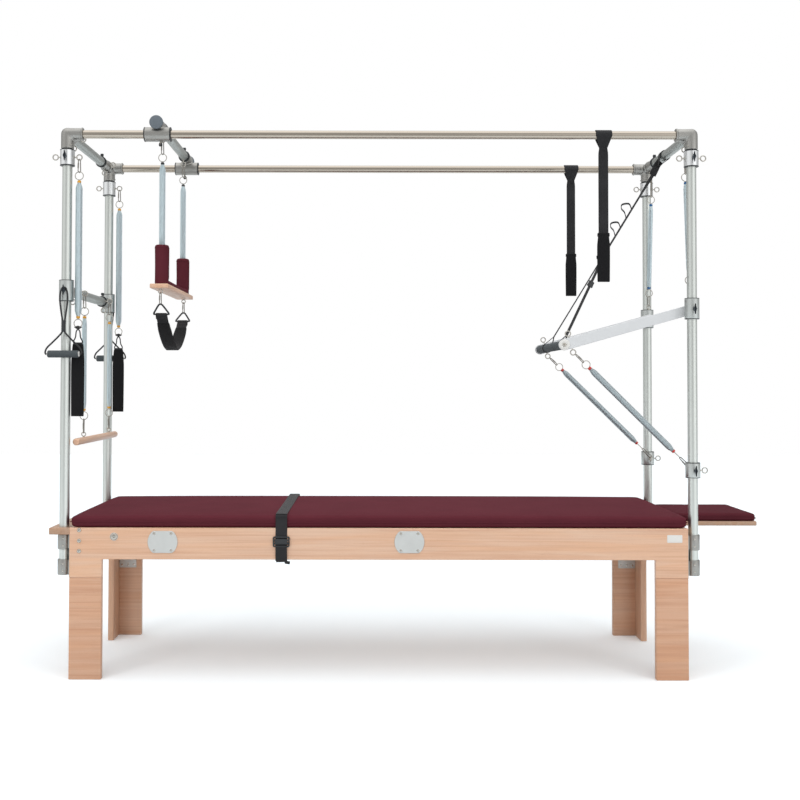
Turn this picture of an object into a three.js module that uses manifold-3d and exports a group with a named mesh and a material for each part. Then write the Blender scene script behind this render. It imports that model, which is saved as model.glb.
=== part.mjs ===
// A pilates trapeze table at its real size, in millimetres with Z up.
// A padded beech table stands between four round posts that carry a frame of tubes. From the frame hang
// a trapeze on a sliding carriage, two bar loops, a sprung push bar, two arm springs with ankle loops,
// and a sliding crossbar with a sprung roll-down bar and two handles.
// X runs along the table, Y goes to the back, and the origin is under the middle of the whole object.
import * as THREE from 'three';
import { mergeVertices } from 'three/addons/utils/BufferGeometryUtils.js';
import Module from 'manifold-3d';

const wasm = await Module();
wasm.setup();

// The gap that touching pieces keep, the overlap of joined solids, and how far a cut runs past a face.
const gap = 0.3;
const embed = 1;
const overrun = 2;

// How many flat sides round shapes have.
const sides = {
  tube: 12, rod: 4, ring: 8, winding: 8, wire: 4, arc: 4, dome: 2, cord: 6, bend: 6, choke: 12,
};

// The wooden table.
const table = { length: 2400, width: 730, railTop: 585, railHeight: 122, board: 25, deck: 18 };
const leg = { width: 126, depth: 128, board: 25, block: 45, blockDrop: 100, seam: 392 };
const ledge = { reach: 80, thickness: 26, below: 1 };
const mat = { thickness: 48, crown: 4, edge: 16, drawIn: 3, underside: 2 };
const extension = {
  length: 340, width: 334, board: 18, top: 588, pad: 30, crown: 2, edge: 14, drawIn: 2, underside: 1,
};
const peg = { radius: 5, height: 577, spread: 120, depth: 20, clearance: 0.3 };
const belt = { x: -378, width: 45, thickness: 3 };

// The posts and the sockets at the table's ends that hold them.
const post = { standOff: 31, inset: 40, outer: 38, wall: 3, clearance: 0.35 };
const socket = {
  outer: 49, plate: 6, plateWidth: 44, floor: 2, ring: 60, spread: 99, foot: 399, plateFoot: 9,
};

// The frame of tubes at the top and its corner castings.
const top = { height: 2128, barOuter: 33, barWall: 2.5, crossOuter: 38, crossWall: 3 };
const corner = { outer: 53, branch: 50, reachX: 64, reachY: 64, drop: 62, seat: 24 };
const collar = { outer: 57, height: 64 };

// Eyebolts, lock knobs and thumbscrews.
const eyebolt = { radius: 10.5, wire: 2.4, shank: 8, hookHalf: 6 };
const smallEye = { radius: 8, wire: 2, shank: 3, hookHalf: 4.8 };
const knob = { width: 14, height: 46, thickness: 8, stem: 6, stand: 11.5 };
const thumbscrew = { stem: 3, length: 12, head: 12 };
const crossEye = { inset: 85 };

// Springs: the wire ring and snap hook at each end, and the tapered winding between.
const spring = { ringDrop: 73, ringRadius: 16, wire: 1.7, tipDrop: 95, plug: 5, plugRadius: 6.5, taper: 30 };
const hookWire = 1.6;
const armSpring = { radius: 13.5, length: 539 };
const rollSpring = { radius: 10, length: 378 };
const trapezeSpring = { radius: 12.5 };
const counterSpring = { radius: 10, start: 137, finish: 85 };
const pushSpring = { radius: 12.5, wire: 3, curls: 16, stepsPerCurl: 8, wireSides: 5, start: 86 };

// The ankle loops on the arm springs.
const knot = { radius: 6.5, wire: 2.4 };
const ankle = { cord: 2.5, drop: 52, halfSpread: 24, width: 50, length: 292, layer: 4, opening: 12 };

// The crossbar that slides on the left posts, with what hangs from it.
const slider = { heightShare: 0.7091, sleeve: 84, outer: 38, wall: 3, clearance: 0.6, eyeY: 200 };
const handle = {
  cord: 3.75, bulge: 15, bulgeDrop: 40, joinTop: 118, joinBottom: 164, strand: 4.2, wrap: 8.5,
  grip: 14, gripLength: 126, drop: 250, cap: 3, elbow: 7, splitX: 42, splitDrop: 204,
};
const dowel = { radius: 14, length: 620, round: 4 };

// The carriage on the top bars and the trapeze below it.
const carriage = {
  x: -875, sleeve: 105, outer: 58, clearance: 0.6, rise: 41, cross: 38, crossWall: 3, casting: 48,
  castingLength: 100, disc: 54, discThickness: 8, overhang: 6, eyeY: 230,
};
const trapeze = { drop: 586, thickness: 18, width: 73, length: 578, round: 3, eyeY: 255 };
const pad = { outer: 60, bore: 28, height: 162, strip: 20, stripWidth: 60, round: 6 };
const sling = {
  apexDrop: 51, base: 38, tilt: 20, halfWidth: 28, wire: 3.5, strap: 50, thickness: 6, depth: 134, steps: 14,
};

// The push bar with its arms, grip and collars on the right posts.
const push = {
  pivotDrop: 688, reachX: 496, dropZ: 139, armHeight: 40, armThickness: 10, tube: 12, disc: 22,
  eyeAlong: 26, washer: 3.2, pin: 7.7, pinClearance: 0.4, head: 12, headThickness: 5, washerRadius: 14,
};
const grip = { outer: 36, clearance: 0.3, length: 562, round: 4 };
const pivotCollar = { height: 83, below: 39 };
const anchorCollar = { height: 60, bottom: 779, eyeHeight: 808 };
const strap = { y: 105, width: 20, layer: 2.4, clearance: 0.8, neck: 60 };

// Webbing loops on the top bars.
const barLoop = {
  x: 884, clearance: 0.8, wrapWidth: 64, width: 46, layer: 4, neck: 60, middle: 386, bottom: 584, opening: 12,
};

const colours = {
  beech: { color: 0xd9b38c, roughness: 0.55, metalness: 0 },
  vinyl: { color: 0x6b353f, roughness: 0.6, metalness: 0 },
  webbing: { color: 0x17181a, roughness: 0.85, metalness: 0 },
  anodised: { color: 0xc6c9c8, roughness: 0.4, metalness: 0.8 },
  casting: { color: 0x8f9090, roughness: 0.5, metalness: 0.6 },
  stainless: { color: 0xb8b0a4, roughness: 0.25, metalness: 1 },
  zinc: { color: 0xa9b7bd, roughness: 0.35, metalness: 0.9 },
  foam: { color: 0x555b62, roughness: 0.9, metalness: 0 },
  powder: { color: 0xd9dcdd, roughness: 0.45, metalness: 0.1 },
};

// Places that several pieces share.
const halfLength = table.length / 2;
const halfWidth = table.width / 2;
const postX = halfLength + post.standOff;
const postY = halfWidth - post.inset;
const postRadius = post.outer / 2;
const collarRadius = collar.outer / 2;
const railBottom = table.railTop - table.railHeight;
const postTop = top.height - top.crossOuter / 2;
const sliderHeight = Math.round(top.height * slider.heightShare);
const trapezeTop = top.height - trapeze.drop;
const pivotHeight = top.height - push.pivotDrop;
const collarTop = top.height - corner.drop;
const collarEyeHeight = collarTop - collar.height / 2 + eyebolt.wire;
const crossEyeY = postY - crossEye.inset;
const up = vector(0, 0, 1);
const down = vector(0, 0, -1);
const alongX = vector(1, 0, 0);
const alongY = vector(0, 1, 0);

function vector(x, y, z) {
  return new THREE.Vector3(x, y, z);
}

function moved(point, direction, distance) {
  return point.clone().addScaledVector(direction, distance);
}

// Turns a closed surface right side out.
function outward(geometry) {
  const bare = geometry.clone();
  for (const name of ['normal', 'uv']) bare.deleteAttribute(name);
  const merged = mergeVertices(bare);
  const at = merged.attributes.position;
  const index = merged.index.array;
  let volume = 0;
  for (let i = 0; i < index.length; i += 3) {
    const [a, b, c] = [0, 1, 2].map((k) => new THREE.Vector3().fromBufferAttribute(at, index[i + k]));
    volume += a.dot(b.cross(c));
  }
  if (volume < 0) {
    for (let i = 0; i < index.length; i += 3) [index[i], index[i + 1]] = [index[i + 1], index[i]];
  }
  return merged;
}

function asSolid(geometry) {
  const closed = outward(geometry);
  const vertProperties = new Float32Array(closed.attributes.position.array);
  const triVerts = new Uint32Array(closed.index.array);
  return new wasm.Manifold(new wasm.Mesh({ numProp: 3, vertProperties, triVerts }));
}

function asGeometry(solid) {
  const mesh = solid.getMesh();
  const geometry = new THREE.BufferGeometry();
  geometry.setAttribute('position', new THREE.BufferAttribute(mesh.vertProperties, 3));
  geometry.setIndex(new THREE.BufferAttribute(mesh.triVerts, 1));
  geometry.computeVertexNormals();
  return geometry;
}

function join(...geometries) {
  return asGeometry(geometries.flat(Infinity).map(asSolid).reduce((one, other) => one.add(other)));
}

function cut(geometry, ...tools) {
  const solids = tools.flat(Infinity).map(asSolid);
  return asGeometry(solids.reduce((one, tool) => one.subtract(tool), asSolid(geometry)));
}

// A closed profile of [radius, height] points turned about the Z axis.
function turned(profile, count = sides.tube) {
  const geometry = new THREE.LatheGeometry(profile.map(([r, h]) => new THREE.Vector2(r, h)), count);
  geometry.rotateX(Math.PI / 2);
  return outward(geometry);
}

// Lays a shape made along +Z from one point towards another.
function laid(geometry, from, to) {
  const direction = to.clone().sub(from).normalize();
  geometry.applyQuaternion(new THREE.Quaternion().setFromUnitVectors(up, direction));
  geometry.translate(from.x, from.y, from.z);
  return geometry;
}

function rod(from, to, radius, count = sides.rod) {
  const length = from.distanceTo(to);
  return laid(turned([[0, 0], [radius, 0], [radius, length], [0, length]], count), from, to);
}

function pipe(from, to, outer, bore, count = sides.tube) {
  const length = from.distanceTo(to);
  const profile = [[bore, 0], [outer, 0], [outer, length], [bore, length], [bore, 0]];
  return laid(turned(profile, count), from, to);
}

function ring(centre, normal, radius, wire) {
  const geometry = new THREE.TorusGeometry(radius, wire, sides.wire, sides.ring);
  return laid(geometry, centre, centre.clone().add(normal));
}

function block(low, high) {
  const size = high.clone().sub(low);
  const geometry = new THREE.BoxGeometry(size.x, size.y, size.z);
  geometry.translate((low.x + high.x) / 2, (low.y + high.y) / 2, (low.z + high.z) / 2);
  return geometry;
}

// A flat outline made thick: its points are [X, Z] for a normal along Y, and [Y, Z] for one along X.
function slab(outline, normal, thickness, centre) {
  const shape = new THREE.Shape(outline.map(([a, b]) => new THREE.Vector2(a, b)));
  const geometry = new THREE.ExtrudeGeometry(shape, { depth: thickness, bevelEnabled: false });
  geometry.translate(0, 0, -thickness / 2);
  const basis = new THREE.Matrix4();
  if (normal === alongY) basis.makeBasis(alongX, up, vector(0, -1, 0));
  if (normal === alongX) basis.makeBasis(alongY, up, alongX);
  geometry.applyMatrix4(basis);
  geometry.translate(centre.x, centre.y, centre.z);
  return geometry;
}

// A wire bent round a closed path that lies in one plane.
function closedWire(path, normal, radius, count = sides.wire) {
  const positions = [];
  const index = [];
  path.forEach((point, i) => {
    const before = path[(i + path.length - 1) % path.length];
    const after = path[(i + 1) % path.length];
    const into = point.clone().sub(before).normalize();
    const out = after.clone().sub(point).normalize();
    const across = into.clone().add(out).normalize().cross(normal);
    const mitre = 1 / Math.sqrt((1 + into.dot(out)) / 2);
    for (let k = 0; k < count; k += 1) {
      const angle = (k / count) * Math.PI * 2;
      const side = moved(point, across, Math.cos(angle) * radius * mitre);
      positions.push(...moved(side, normal, Math.sin(angle) * radius).toArray());
      const next = (k + 1) % count;
      const [here, there] = [i * count, ((i + 1) % path.length) * count];
      index.push(here + k, there + k, here + next, here + next, there + k, there + next);
    }
  });
  const geometry = new THREE.BufferGeometry();
  geometry.setAttribute('position', new THREE.BufferAttribute(new Float32Array(positions), 3));
  geometry.setIndex(index);
  return outward(geometry);
}

// The path of a loop with two round ends about two centres.
function loopPath(one, other, normal, halfWidth) {
  const direction = other.clone().sub(one).normalize();
  const across = direction.clone().cross(normal);
  const points = [];
  for (const [centre, sign] of [[one, 1], [other, -1]]) {
    for (let i = 0; i <= sides.arc; i += 1) {
      const angle = (i / sides.arc) * Math.PI;
      const side = moved(centre, across, Math.cos(angle) * halfWidth * sign);
      points.push(moved(side, direction, -Math.sin(angle) * halfWidth * sign));
    }
  }
  return points;
}

// An eyebolt that stands on a surface: its stem and its ring.
function eye(base, direction, normal, size = eyebolt) {
  const stem = rod(moved(base, direction, -embed - size.wire), moved(base, direction, size.shank), size.wire);
  return [stem, ring(eyeCentre(base, direction, size), normal, size.radius, size.wire)];
}

function eyeCentre(base, direction, size = eyebolt) {
  return moved(base, direction, size.shank + size.radius);
}

// A lozenge-shaped lock knob on a stem that stands out to the front or the back.
function lockKnob(x, surfaceY, z) {
  const outside = Math.sign(surfaceY);
  const base = vector(x, surfaceY - outside * overrun, z);
  const end = vector(x, surfaceY + outside * (knob.stand + embed), z);
  const outline = [[-knob.width / 2, 0], [0, -knob.height / 2], [knob.width / 2, 0], [0, knob.height / 2]];
  const centreY = surfaceY + outside * (knob.stand + knob.thickness / 2);
  const lozenge = slab(outline, alongY, knob.thickness, vector(x, centreY, z));
  return [rod(base, end, knob.stem, sides.bend), lozenge];
}

function screw(base, direction) {
  const end = moved(base, direction, thumbscrew.length);
  const stem = rod(moved(base, direction, -embed - overrun), end, thumbscrew.stem);
  const half = thumbscrew.head / 2;
  const corners = vector(half, half / 2, half);
  return [stem, block(end.clone().sub(corners), end.clone().add(corners))];
}

function mesh(name, finish, geometry) {
  const piece = new THREE.Mesh(geometry, new THREE.MeshStandardMaterial(colours[finish]));
  piece.name = name;
  return piece;
}

// The four corners of the frame, with the names of their sides.
const cornerPlaces = [
  { name: 'front_left', sx: -1, sy: -1 },
  { name: 'front_right', sx: 1, sy: -1 },
  { name: 'rear_left', sx: -1, sy: 1 },
  { name: 'rear_right', sx: 1, sy: 1 },
];
const depthPlaces = [{ name: 'front', sy: -1 }, { name: 'rear', sy: 1 }];

// A long rail with an ear at each end that reaches down to the seam of the leg below it.
function longRail(name, sy) {
  const inner = halfLength - leg.width;
  const outline = [
    [-halfLength, table.railTop],
    [-halfLength, leg.seam],
    [-inner, leg.seam],
    [-inner, railBottom],
    [inner, railBottom],
    [inner, leg.seam],
    [halfLength, leg.seam],
    [halfLength, table.railTop],
  ];
  const centre = vector(0, sy * (halfWidth - table.board / 2), 0);
  return mesh(name, 'beech', slab(outline, alongY, table.board, centre));
}

function endRailSolid(sx, outerX) {
  const reach = halfWidth - table.board - gap;
  const [low, high] = [sx * (halfLength - table.board), outerX].sort((a, b) => a - b);
  return block(vector(low, -reach, railBottom), vector(high, reach, table.railTop));
}

// The left end board carries the ledge that the posts pass through.
function leftEnd() {
  const board = endRailSolid(-1, -halfLength);
  const topZ = table.railTop - ledge.below;
  const low = vector(-halfLength - ledge.reach, -halfWidth, topZ - ledge.thickness);
  const shelf = block(low, vector(-halfLength - gap, halfWidth, topZ));
  const reach = halfWidth - table.board - gap;
  const tongueLow = vector(-halfLength - gap - embed, -reach, topZ - ledge.thickness);
  const tongue = block(tongueLow, vector(-halfLength + embed, reach, topZ));
  const holes = depthPlaces.map(({ sy }) => rod(
    vector(-postX, sy * postY, topZ - ledge.thickness - overrun),
    vector(-postX, sy * postY, topZ + overrun),
    postRadius + slider.clearance,
    sides.tube,
  ));
  return mesh('end_rail_left', 'beech', cut(join(board, shelf, tongue), holes));
}

function pegRods(radius) {
  return [-1, 1].map((sy) => rod(
    vector(halfLength - peg.depth, sy * peg.spread, peg.height),
    vector(halfLength + gap + embed, sy * peg.spread, peg.height),
    radius,
  ));
}

function rightEnd() {
  const board = endRailSolid(1, halfLength);
  return mesh('end_rail_right', 'beech', cut(board, pegRods(peg.radius + peg.clearance)));
}

// Each leg is an L of two boards with a corner block that stands up inside the rails and carries the deck.
function legPiece({ name, sx, sy }) {
  const legTop = railBottom - gap;
  const inner = { x: halfLength - leg.board, y: halfWidth - leg.board };
  const box = (x0, x1, y0, y1, z0, z1) => {
    const xs = [sx * x0, sx * x1].sort((a, b) => a - b);
    const ys = [sy * y0, sy * y1].sort((a, b) => a - b);
    return block(vector(xs[0], ys[0], z0), vector(xs[1], ys[1], z1));
  };
  const face = box(halfLength - leg.width, halfLength, inner.y, halfWidth, 0, leg.seam - gap);
  const side = box(inner.x, halfLength, halfWidth - leg.depth, inner.y - gap, 0, legTop);
  const foot = box(inner.x, halfLength, inner.y - gap - embed, inner.y + embed, 0, leg.seam - gap);
  const blockX = inner.x - leg.block;
  const blockY = inner.y - leg.block;
  const blockFoot = railBottom - leg.blockDrop;
  const lower = box(blockX, inner.x + embed, blockY, inner.y - gap, blockFoot, legTop);
  const deckBottom = table.railTop - table.deck;
  const upper = box(blockX, inner.x - gap, blockY, inner.y - gap, legTop - embed, deckBottom - gap);
  return mesh(`leg_${name}`, 'beech', join(face, side, foot, lower, upper));
}

function deckPanel() {
  const [x, y] = [halfLength - table.board - gap, halfWidth - table.board - gap];
  const low = vector(-x, -y, table.railTop - table.deck);
  return mesh('deck_panel', 'beech', block(low, vector(x, y, table.railTop)));
}

// One ring of a cushion: a rectangle with round corners whose sides are drawn in between them.
function cushionRing(halfX, halfY, inset, drawIn, z) {
  const points = [];
  const [x, y] = [halfX - inset, halfY - inset];
  const edgeSteps = 4;
  const cornerShare = 0.06;
  const corners = [[1, -1], [1, 1], [-1, 1], [-1, -1]];
  const round = y * cornerShare;
  corners.forEach(([cx, cy], i) => {
    for (let k = 0; k <= 2; k += 1) {
      const angle = ((i - 1) + k / 2) * (Math.PI / 2);
      const [outX, outY] = [Math.cos(angle) * round, Math.sin(angle) * round];
      points.push([cx * (x - round) + outX, cy * (y - round) + outY, z]);
    }
    const [nx, ny] = corners[(i + 1) % corners.length];
    for (let k = 1; k < edgeSteps; k += 1) {
      const t = k / edgeSteps;
      const pull = drawIn * Math.sin(t * Math.PI);
      const along = i % 2 === 0;
      const px = along ? cx * (x - pull) : (x - round) * (cx + (nx - cx) * t);
      const py = along ? (y - round) * (cy + (ny - cy) * t) : cy * (y - pull);
      points.push([px, py, z]);
    }
  });
  return points;
}

// A cushion with a crowned top, round upper edges and drawn-in sides, standing on z 0 about its middle.
function cushion(length, width, height, { crown, edge, drawIn, underside }) {
  const [halfX, halfY] = [length / 2, width / 2];
  const sideShares = [0, 0.15];
  const roundShares = [0, 0.35, 0.7, 1];
  const crownShares = [0.3, 0.65];
  const rings = sideShares.map((share) => cushionRing(
    halfX, halfY, share ? 0 : underside, drawIn, share * (height - edge),
  ));
  for (const share of roundShares) {
    const angle = share * (Math.PI / 2);
    const inset = edge * (1 - Math.cos(angle));
    rings.push(cushionRing(halfX, halfY, inset, drawIn, height - edge + edge * Math.sin(angle)));
  }
  for (const share of crownShares) {
    const inset = edge + (halfY - edge) * share;
    rings.push(cushionRing(halfX, halfY, inset, 0, height + crown * Math.sin(share * (Math.PI / 2))));
  }
  const positions = rings.flat(2);
  const count = rings[0].length;
  const index = [];
  for (let r = 0; r < rings.length - 1; r += 1) {
    for (let k = 0; k < count; k += 1) {
      const next = (k + 1) % count;
      const [here, there] = [r * count, (r + 1) * count];
      index.push(here + k, here + next, there + k, here + next, there + next, there + k);
    }
  }
  for (const [r, z] of [[0, 0], [rings.length - 1, height + crown]]) {
    const centre = positions.length / 3;
    positions.push(0, 0, z);
    for (let k = 0; k < count; k += 1) {
      const pair = [r * count + k, r * count + ((k + 1) % count)];
      index.push(...(r ? pair : pair.reverse()), centre);
    }
  }
  const geometry = new THREE.BufferGeometry();
  geometry.setAttribute('position', new THREE.BufferAttribute(new Float32Array(positions), 3));
  geometry.setIndex(index);
  return outward(geometry);
}

function matPiece() {
  const geometry = cushion(table.length, table.width, mat.thickness, mat);
  geometry.translate(0, 0, table.railTop + gap);
  return mesh('mat', 'vinyl', geometry);
}

function extensionPieces() {
  const middleX = halfLength + gap + extension.length / 2;
  const half = vector(extension.length / 2, extension.width / 2, extension.board / 2);
  const middle = vector(middleX, 0, extension.top - extension.board / 2);
  const board = join(block(middle.clone().sub(half), middle.clone().add(half)), pegRods(peg.radius));
  const soft = cushion(extension.length, extension.width, extension.pad, extension);
  soft.translate(middleX, 0, extension.top + gap);
  return [mesh('extension_board', 'beech', board), mesh('extension_pad', 'vinyl', soft)];
}

// A belt of webbing that runs round the mat and under both rails.
function matBelt() {
  const matTop = table.railTop + mat.thickness + mat.crown;
  const inner = { y: halfWidth + gap, low: railBottom - gap, high: matTop + 2 * gap };
  const outline = (out) => [
    [-inner.y - out, inner.low - out],
    [inner.y + out, inner.low - out],
    [inner.y + out, inner.high + out],
    [-inner.y - out, inner.high + out],
  ];
  const centre = vector(belt.x, 0, 0);
  const outside = slab(outline(belt.thickness), alongX, belt.width, centre);
  return mesh('mat_belt', 'webbing', cut(outside, slab(outline(0), alongX, belt.width + overrun, centre)));
}

// A plate on the table's end with two rings. The lower ring has a floor that the post stands on.
function socketPiece({ name, sx, sy }) {
  const [x, y] = [sx * postX, sy * postY];
  const bore = postRadius + post.clearance;
  const lower = socket.foot;
  const upper = socket.foot + socket.spread;
  const plateIn = sx * (halfLength + gap);
  const plateOut = plateIn + sx * socket.plate;
  const xs = [plateIn, plateOut].sort((a, b) => a - b);
  const half = socket.plateWidth / 2;
  const topZ = upper + socket.ring - gap;
  const parts = [block(vector(xs[0], y - half, lower - socket.plateFoot), vector(xs[1], y + half, topZ))];
  for (const z of [lower, upper]) {
    const end = z === upper ? topZ : z + socket.ring;
    parts.push(rod(vector(x, y, z), vector(x, y, end), socket.outer / 2, sides.tube));
    const web = [plateOut - sx * embed, x].sort((a, b) => a - b);
    parts.push(block(vector(web[0], y - half / 2, z), vector(web[1], y + half / 2, end)));
  }
  const hole = rod(vector(x, y, lower + socket.floor), vector(x, y, topZ + overrun), bore, sides.tube);
  return mesh(`post_socket_${name}`, 'casting', cut(join(parts), hole));
}

function postPiece({ name, sx, sy }) {
  const [x, y] = [sx * postX, sy * postY];
  const foot = vector(x, y, socket.foot + socket.floor + gap);
  const head = vector(x, y, postTop - gap);
  return mesh(`post_${name}`, 'anodised', pipe(foot, head, postRadius, postRadius - post.wall));
}

// The casting that joins a post, a top bar and a crossbar, with the collar and eyebolts under it.
function cornerPiece({ name, sx, sy }) {
  const middle = vector(sx * postX, sy * postY, top.height);
  const foot = vector(middle.x, middle.y, collarTop - collar.height);
  const towardsX = vector(-sx, 0, 0);
  const towardsY = vector(0, -sy, 0);
  const radius = corner.outer / 2;
  const profile = [[0, 0], [collarRadius, 0], [collarRadius, collar.height], [radius, collar.height]];
  for (let i = 0; i <= sides.dome; i += 1) {
    const angle = (i / sides.dome) * (Math.PI / 2);
    profile.push([radius * Math.cos(angle), middle.z - foot.z + radius * Math.sin(angle)]);
  }
  const eyeBase = vector(middle.x, middle.y, collarEyeHeight);
  const body = join(
    laid(turned(profile), foot, middle),
    rod(middle, moved(middle, towardsX, corner.reachX), corner.branch / 2, sides.tube),
    rod(middle, moved(middle, towardsY, corner.reachY), corner.branch / 2, sides.tube),
    [alongX, alongX.clone().negate()].flatMap((out) => eye(moved(eyeBase, out, collarRadius), out, alongY)),
    lockKnob(middle.x, middle.y + sy * collarRadius, collarEyeHeight),
  );
  const bore = postRadius + post.clearance;
  const postHole = rod(moved(foot, down, overrun), vector(middle.x, middle.y, postTop), bore, sides.tube);
  const barEnd = moved(middle, towardsX, corner.reachX + overrun);
  const barBore = top.barOuter / 2 + post.clearance;
  const barHole = rod(moved(middle, towardsX, corner.seat), barEnd, barBore, sides.tube);
  const crossEnd = moved(middle, towardsY, corner.reachY + overrun);
  const crossBore = top.crossOuter / 2 + post.clearance;
  const crossHole = rod(moved(middle, towardsY, corner.seat), crossEnd, crossBore, sides.tube);
  return mesh(`corner_fitting_${name}`, 'casting', cut(body, postHole, barHole, crossHole));
}

function topBar({ name, sy }) {
  const reach = postX - corner.seat - gap;
  const [from, to] = [vector(-reach, sy * postY, top.height), vector(reach, sy * postY, top.height)];
  const radius = top.barOuter / 2;
  return mesh(`top_bar_${name}`, 'stainless', pipe(from, to, radius, radius - top.barWall));
}

// A crossbar between two corners, with eyebolts near each end.
function topCrossbar(name, sx, eyeDirections) {
  const reach = postY - corner.seat - gap;
  const x = sx * postX;
  const radius = top.crossOuter / 2;
  const parts = [rod(vector(x, -reach, top.height), vector(x, reach, top.height), radius, sides.tube)];
  for (const sy of [-1, 1]) {
    for (const out of eyeDirections) {
      parts.push(...eye(moved(vector(x, sy * crossEyeY, top.height), out, radius), out, alongY));
    }
  }
  const [from, to] = [vector(x, -reach - overrun, top.height), vector(x, reach + overrun, top.height)];
  const bore = rod(from, to, radius - top.crossWall, sides.tube);
  return mesh(name, 'anodised', cut(join(parts), bore));
}

// A close winding between two points that tapers to a plug at each end.
function winding(from, to, radius) {
  const length = from.distanceTo(to);
  const profile = [
    [0, 0],
    [spring.plugRadius, 0],
    [radius, spring.taper],
    [radius, length - spring.taper],
    [spring.plugRadius, length],
    [0, length],
  ];
  return laid(turned(profile, sides.winding), from, to);
}

// Where the far round end of a hook is centred that bites into a wire at a given reach.
function hookEndAt(reach, halfWidth) {
  return reach + spring.wire - embed + hookWire - halfWidth;
}

// A snap hook that hangs in an eye and holds a wire that is a given reach away from the eye's centre.
function snapHook(eyeAt, direction, normal, reach, size = eyebolt) {
  const flat = Math.cos(Math.PI / sides.ring);
  const start = size.radius * flat - size.wire - gap - hookWire + size.hookHalf;
  const end = moved(eyeAt, direction, hookEndAt(reach, size.hookHalf));
  const path = loopPath(moved(eyeAt, direction, start), end, normal, size.hookHalf);
  return closedWire(path, normal, hookWire);
}

function linkRing(centre, direction, normal) {
  return ring(centre, direction.clone().cross(normal).normalize(), spring.ringRadius, spring.wire);
}

// What hangs in an eye at the upper end of a spring: a snap hook, a wire ring and the stub of the winding.
function upperLink(eyeAt, direction, normal, ringDrop, tipDrop) {
  const stubStart = moved(eyeAt, direction, ringDrop + spring.ringRadius);
  return [
    snapHook(eyeAt, direction, normal, ringDrop - spring.ringRadius),
    linkRing(moved(eyeAt, direction, ringDrop), direction, normal),
    rod(stubStart, moved(eyeAt, direction, tipDrop + embed), spring.wire),
  ];
}

function lowerRing(tip, direction) {
  const centre = moved(tip, direction, spring.tipDrop - spring.ringDrop);
  const wireAt = spring.tipDrop - spring.ringDrop - spring.ringRadius;
  return [
    rod(moved(tip, direction, -embed), moved(tip, direction, wireAt), spring.wire),
    linkRing(centre, direction, alongX),
  ];
}

// Places of the arm springs and of the loops that hang from them.
const armEye = (sy) => eyeCentre(vector(-postX + collarRadius, sy * postY, collarEyeHeight), alongX);
const armTip = (sy) => moved(armEye(sy), down, spring.tipDrop + armSpring.length);
const armRing = (sy) => moved(armTip(sy), down, spring.tipDrop - spring.ringDrop);

function armSpringPiece({ name, sy }) {
  const start = armEye(sy);
  const tip = armTip(sy);
  const geometry = join(
    upperLink(start, down, alongX, spring.ringDrop, spring.tipDrop),
    winding(moved(start, down, spring.tipDrop), tip, armSpring.radius),
    lowerRing(tip, down),
  );
  return mesh(`arm_spring_${name}`, 'zinc', geometry);
}

// A closed band of webbing seen from its edge: two layers with an opening between them and round ends.
function bandOutline(topZ, bottomZ, half) {
  const points = [];
  for (const [z, start] of [[topZ - half, 0], [bottomZ + half, Math.PI]]) {
    for (let i = 0; i <= sides.arc; i += 1) {
      const angle = start + (i / sides.arc) * Math.PI;
      points.push([Math.cos(angle) * half, z + Math.sin(angle) * half]);
    }
  }
  return points;
}

function band(centre, topZ, bottomZ, width, opening, layer) {
  const outer = slab(bandOutline(topZ, bottomZ, opening / 2 + layer), alongX, width, centre);
  const inner = bandOutline(topZ - layer, bottomZ + layer, opening / 2);
  return cut(outer, slab(inner, alongX, width + overrun, centre));
}

// An ankle loop: a knot in the ring, two cords that spread, and a band of webbing.
function ankleLoop({ name, sy }) {
  const ringAt = armRing(sy);
  const knotAt = moved(ringAt, down, spring.ringRadius + knot.radius - knot.wire - spring.wire - gap);
  const start = moved(knotAt, down, knot.radius);
  const bandTop = start.z - ankle.drop;
  const cordFoot = bandTop - ankle.layer;
  const reach = ankle.halfSpread - ankle.cord / 2;
  const cords = [-1, 1].map((sx) => rod(start, vector(start.x + sx * reach, start.y, cordFoot), ankle.cord));
  const foot = vector(start.x, start.y, 0);
  const geometry = join(
    ring(knotAt, alongX, knot.radius, knot.wire),
    cords,
    band(foot, bandTop, bandTop - ankle.length, ankle.width, ankle.opening, ankle.layer),
  );
  return mesh(`ankle_loop_${name}`, 'webbing', geometry);
}

// The crossbar with a sleeve on each left post, its eyebolts and the lock knobs that the handles hang on.
function slidingCrossbar() {
  const z = sliderHeight;
  const halfSleeve = slider.sleeve / 2;
  const radius = slider.outer / 2;
  const reach = postY - postRadius;
  const parts = [rod(vector(-postX, -reach, z), vector(-postX, reach, z), radius, sides.tube)];
  const holes = [];
  for (const sy of [-1, 1]) {
    const y = sy * postY;
    const [low, high] = [vector(-postX, y, z - halfSleeve), vector(-postX, y, z + halfSleeve)];
    parts.push(rod(low, high, collarRadius, sides.tube));
    parts.push(...lockKnob(-postX, y + sy * collarRadius, z));
    parts.push(...eye(vector(-postX + radius, sy * slider.eyeY, z), alongX, alongY));
    parts.push(...eye(vector(-postX, sy * crossEyeY, z - radius), down, alongY));
    const [from, to] = [moved(low, down, overrun), moved(high, up, overrun)];
    holes.push(rod(from, to, postRadius + slider.clearance, sides.tube));
  }
  return mesh('slide_crossbar', 'anodised', cut(join(parts), holes));
}

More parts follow.
